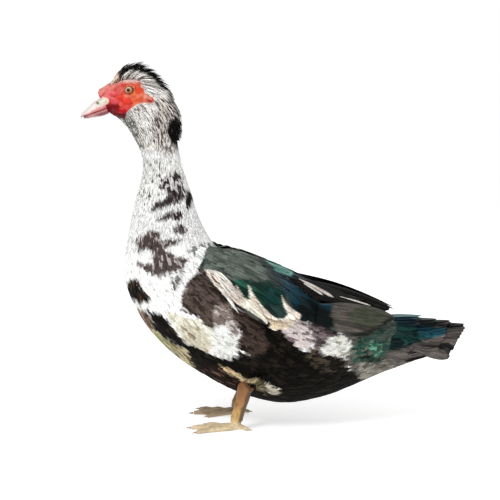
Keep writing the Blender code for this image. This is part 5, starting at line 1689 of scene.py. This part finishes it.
def make_lid(side, lid):
    """One uneven fleshy ring round an eye, a little wider than high, lying along the face."""
    bpy.ops.mesh.primitive_torus_add(
        major_radius=lid.major * MM, minor_radius=lid.minor * MM, major_segments=96, minor_segments=14)
    made = bpy.context.object
    flat = places_of(made)
    turn = np.arctan2(flat[:, 1], flat[:, 0])
    around = np.stack([np.cos(turn), np.sin(turn), 0 * turn], axis=-1)
    rough = noise(around * 9 + side * 50, 1.5, 42)[:, None] - 0.5
    middle = around * lid.major
    x, z, thick = (middle + (flat - middle) * (1 + lid.wild * 2 * rough)).T
    x, z = x * 1.08, z * 0.93
    out = lid.out + 0.14 * x - 0.012 * z ** 2
    spots = np.stack([x, thick * side + side * out, z + 0.12 * x], axis=-1)
    spots[:, [0, 2]] += np.array(EYE_AT)
    move_to(made, spots)
    colour_in(made, np.repeat(linear(lid.tint)[None], len(spots), axis=0) * (0.8 + 0.5 * (rough + 0.5)))
    face_outwards()
    return made


def make_eyes(finish, lid_finish):
    for side, word in SIDES:
        make_eyeball(side, word, finish)
        dress(join([make_lid(side, lid) for lid in LIDS], "lids_" + word), lid_finish, "head")


# Legs and feet
def leg_pieces(side):
    """Tubes of one leg's shank, ankle and toes as (path, radii), the foot's middle and toe ends."""
    hock = hock_of(side)
    ankle = beside(ANKLE, FOOT_OUT, side)
    lean = unit(ankle - hock)
    into = unit(hock - thigh_path(side)[-2])
    begin, end = hock - into * 3, ankle - lean * 3
    path = [begin, hock + into * 3]
    path += [hock + (end - hock) * t for t in (0.3, 0.55, 0.85, 1.0)]
    tubes = [(path, [r - 0.2 for r in SHANK_RADII])]
    knuckle = end + lean * 0.3
    centre = np.array([knuckle[0] - 1.5, knuckle[1], TOE_RADIUS])
    tubes.append((
        [end - lean * 2, knuckle + lean, knuckle * 0.3 + centre * 0.7, centre], [7.4, 7.6, 7.0, 5.0]))
    ends = []
    for toe in TOES:
        turn = math.radians(toe.turn) * side
        ahead = np.array([-math.cos(turn), math.sin(turn), 0])
        toe_path, radii = [], []
        for k in range(4 * toe.joints + 1):
            t = k / (4 * toe.joints)
            swell = 0.91 + 0.09 * -math.cos(2 * math.pi * toe.joints * t)
            radius = (TOE_RADIUS + (TOE_TIP_RADIUS - TOE_RADIUS) * t) * swell * toe.thick
            place = centre + ahead * toe.length * t
            place[2] = radius * 0.80 + toe.arch * math.sin(math.pi * min(t * 1.1, 1)) + toe.rise * (1 - t)
            toe_path.append(place)
            radii.append(radius)
        tubes.append((toe_path, radii))
        ends.append(toe_path[-1])
    return tubes, centre, ends


def web_shape(centre, ends):
    """The webs between the three front toes: a thin sheet, scalloped in front and creased."""
    def shape(a, b):
        over = b < 0.5
        s = np.where(over, 2 * b, 2 - 2 * b) * 2
        i = np.clip(s.astype(int), 0, 1)
        t = s - i
        near, far = np.array(ends)[i], np.array(ends)[i + 1]
        hollow = 0.97 - 0.15 * np.sin(math.pi * t)[:, None]
        edge = centre + (near + (far - near) * t[:, None] - centre) * hollow
        root = centre + np.array([4.0, 0, 0])
        place = root + (edge - root) * a[:, None]
        sag = np.sin(math.pi * t) * np.sin(math.pi * np.clip(a * 0.6 + 0.3, 0, 1))
        crease = 0.16 * np.sin(t * 60) * np.sin(math.pi * t)
        thick = 0.75 - 0.2 * a
        place[:, 2] = 1.45 - 0.25 * sag + np.where(over, thick + crease, -thick)
        return place
    return shape


def make_legs(finish, claw_finish):
    """Each leg's scaled skin in one closed piece; the claws stay the frame's own solids."""
    for side, word in SIDES:
        tubes, centre, ends = leg_pieces(side)
        pieces = []
        for path, radii in tubes:
            rows = max(12, int(6 * len(path)))
            pieces.append(wrapped("tube", rows, 28, along_path(path, radii)))
        pieces.append(wrapped("web", 60, 120, web_shape(centre, ends[:3])))
        leg = join(pieces, "leg_skin_" + word)
        finish_with(leg, "REMESH", mode="VOXEL", voxel_size=0.00062)
        finish_with(leg, "SMOOTH", factor=0.5, iterations=3)
        spots = places_of(leg)
        spots[:, 2] = np.maximum(spots[:, 2], 0.0)
        front = smooth(spots[:, 2], 9, 13)
        hock = hock_of(side)
        plate = np.abs((spots[:, 2] * 0.42 + spots[:, 0] * 0.06) % 1 - 0.5)
        axis = ANKLE[0] + (hock[0] - ANKLE[0]) * (spots[:, 2] - ANKLE[1]) / (hock[2] - ANKLE[1])
        ahead = smooth(axis - spots[:, 0], 0.5, 3.0)
        toe_plate = np.abs((spots[:, 0] * 0.5) % 1 - 0.5)
        high = smooth(spots[:, 2], 3.6, 5.2) * (1 - front)
        sink = -0.3 * (1 - smooth(plate, 0.03, 0.12)) * ahead * front
        sink -= 0.25 * (1 - smooth(toe_plate, 0.03, 0.12)) * high
        normals = read(leg.data.vertices, "normal").reshape(-1, 3)
        spots = spots + normals * sink[:, None]
        move_to(leg, spots)
        bpy.ops.object.shade_smooth()
        set_leg_colour(leg, spots, side)
        dress(leg, finish, "leg")
        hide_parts("shank_" + word, "foot_" + word)
        for toe in TOES:
            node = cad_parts["claw_" + toe.name + "_" + word]
            node.data.materials.clear()
            node.data.materials.append(claw_finish)


# The leg's tones by height, and those of the painted shade on its rear, its blotches, its sole and the
# right leg
LEG_HEIGHTS = [0, 10, 14, 26, 34, 48, 62]
LEG_TONES = linear([
    (236, 216, 178), (232, 210, 168), (226, 186, 118), (222, 178, 106), (178, 130, 74), (156, 104, 50),
    (140, 88, 44)])
LEG_REAR_SHADE, LEG_BLOTCH, SOLE, LEG_FAR = (82, 52, 24), (110, 68, 30), (120, 92, 60), (126, 98, 78)


def set_leg_colour(leg, spots, side):
    """Orange-brown shank with painted shade behind, pale yellow below, with creamy toes and webs."""
    colour = np.stack([np.interp(spots[:, 2], LEG_HEIGHTS, tone) for tone in LEG_TONES.T], axis=-1)
    axis = ANKLE[0] + (LEFT_HOCK[0] - ANKLE[0]) * (spots[:, 2] - ANKLE[1]) / (LEFT_HOCK[1] - ANKLE[1])
    # Painted shade on the back of the shank
    rear = smooth(spots[:, 0] - axis + 3 * noise(spots, 6, 52), 2.5, 6.5) * smooth(spots[:, 2], 9, 14)
    colour = colour + (linear(LEG_REAR_SHADE) - colour) * rear[:, None] * 0.9
    blotch = smooth(noise(spots, 6, 51), 0.5, 0.75)[:, None]
    high = smooth(spots[:, 2], 12, 34)[:, None]
    colour = colour + (linear(LEG_BLOTCH) - colour) * blotch * (0.22 + 0.4 * high)
    sole = (1 - smooth(spots[:, 2], 0.2, 1.6))[:, None]
    colour = colour + (linear(SOLE) - colour) * sole * 0.7
    if side > 0:
        colour = colour + (linear(LEG_FAR) - colour) * 0.6
    colour_in(leg, colour)


# Stage: lamps as name, place, size, watts
WORLD_LIGHT, FLOOR_GLOW = 0.5, 0.5
LAMPS = [
    ("key", (-1.2, -1.7, 2.4), 1.0, 44),
    ("fill", (1.8, -1.8, 1.3), 1.8, 8),
    ("rim", (0.6, 1.8, 2.0), 1.5, 12),
]
LAMP_AIM, FLOOR_SIZE, FLOOR_DROP = (0, 0, 0.22), (8, 5, 1), 0.0004


def aim(made, place, target):
    made.rotation_euler = (Vector(target) - Vector(place)).to_track_quat("-Z", "Y").to_euler()


def make_stage():
    """A flat pale floor that glows a little, soft lamps and the side-view camera."""
    bpy.ops.mesh.primitive_plane_add(size=1)
    floor = bpy.context.object
    floor.name = "floor"
    bpy.ops.object.mode_set(mode="EDIT")
    bpy.ops.mesh.select_all(action="SELECT")
    bpy.ops.transform.resize(value=FLOOR_SIZE)
    bpy.ops.transform.translate(value=(0, 0, -FLOOR_DROP))
    bpy.ops.object.mode_set(mode="OBJECT")
    finish = bpy.data.materials.new("pale floor")
    finish.use_nodes = True
    shader = finish.node_tree.nodes["Principled BSDF"]
    shader.inputs["Base Color"].default_value = (0.86, 0.86, 0.86, 1)
    shader.inputs["Roughness"].default_value = 0.9
    shader.inputs["Emission Color"].default_value = (1, 1, 1, 1)
    shader.inputs["Emission Strength"].default_value = FLOOR_GLOW
    floor.data.materials.append(finish)
    world = bpy.data.worlds.new("studio")
    bpy.context.scene.world = world
    world.use_nodes = True
    graph = Graph(world.node_tree)
    background = graph.nodes["Background"]
    background.inputs["Color"].default_value = (1, 1, 1, 1)
    seen = graph.made("ShaderNodeLightPath").outputs["Is Camera Ray"]
    graph.feed(background.inputs["Strength"], graph.ranged(seen, 0, 1, WORLD_LIGHT, 1))
    bpy.context.scene.view_settings.view_transform = "Standard"
    for name, place, size, power in LAMPS:
        bpy.ops.object.light_add(type="AREA", location=place)
        lamp = bpy.context.object
        lamp.name = name
        lamp.data.size = size
        lamp.data.energy = power
        aim(lamp, place, LAMP_AIM)
    bpy.ops.object.camera_add(location=CAMERA_PLACE)
    camera = bpy.context.object
    camera.data.lens = CAMERA_LENS
    camera.data.sensor_width = SENSOR
    aim(camera, CAMERA_PLACE, CAMERA_AIM)
    bpy.context.scene.camera = camera


def make_coat(finish, draw):
    for cover in COVERS:
        feather_piece(cover.name, [small_feathers(cover, draw)], finish, cover.slot)
    for side, word in SIDES:
        feather_piece("coat_thigh_" + word, [thigh_batch(side, draw)], finish, "thigh")


def make_wings(finish, core_finish):
    for side, word in SIDES:
        draw = np.random.default_rng(31 if side < 0 else 32)
        batches = wing_batches(draw) + primary_batches(draw, side)
        if side > 0:
            batches = [batch.mirrored() for batch in batches]
        made = feather_piece("wing_feathers_" + word, batches, finish, "wing")
        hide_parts("wing_" + word)
        core = wing_core(side)
        core.name = core.data.name = "wing_body_" + word
        dress(core, core_finish, "wing")


def main():
    make_stage()
    barbs, flesh, horn = barb_group(), flesh_group(), horn_group()
    feather = material("feathers", barbs, {"Barb Contrast": 0.22}, 0.0003, 0.5, Specular_IOR_Level=0.06)
    plume = material(
        "flight feathers", barbs, {"Barb Contrast": 0.3, "Streak": 0.5, "Matt": 0.7, "Polished": 0.3},
        0.0004, 0.6, Specular_IOR_Level=0.12)
    skin = material(
        "skin", flesh, {"Pore Size": 1100.0, "Blotch": 0.25},
        0.0003, 0.5, Subsurface_Weight=0.06, Specular_IOR_Level=0.12)
    bill = material(
        "bill horn", flesh,
        {"Pore Size": 500.0, "Blotch": 0.12, "Blotch Size": 60.0, "Deep": (0.5, 0.2, 0.16, 1)},
        0.0001, 0.25, Coat_Weight=0.15)
    leg = material(
        "leg skin", flesh,
        {"Pore Size": 700.0, "Blotch": 0.35, "Blotch Size": 90.0, "Deep": (0.12, 0.06, 0.02, 1)},
        0.0004, 0.6)
    eye = material(
        "eye", flesh, {"Pore Size": 3000.0, "Blotch": 0.0},
        0.00001, 0.05, Coat_Weight=0.35, Coat_Roughness=0.02, Specular_IOR_Level=0.1)
    claw = material(
        "claw horn", horn,
        {"Light": (0.5, 0.42, 0.3, 1), "Dark": (0.12, 0.09, 0.06, 1), "Plate Scale": 200.0, "Worn": 0.7},
        0.0001, 0.3)
    make_skin(skin)
    make_bill(bill)
    make_knob(skin)
    make_eyes(eye, skin)
    make_legs(leg, claw)
    make_coat(feather, np.random.default_rng(11))
    make_crest(feather, np.random.default_rng(7))
    make_tail(plume, skin, np.random.default_rng(17))
    make_wings(plume, skin)


main()
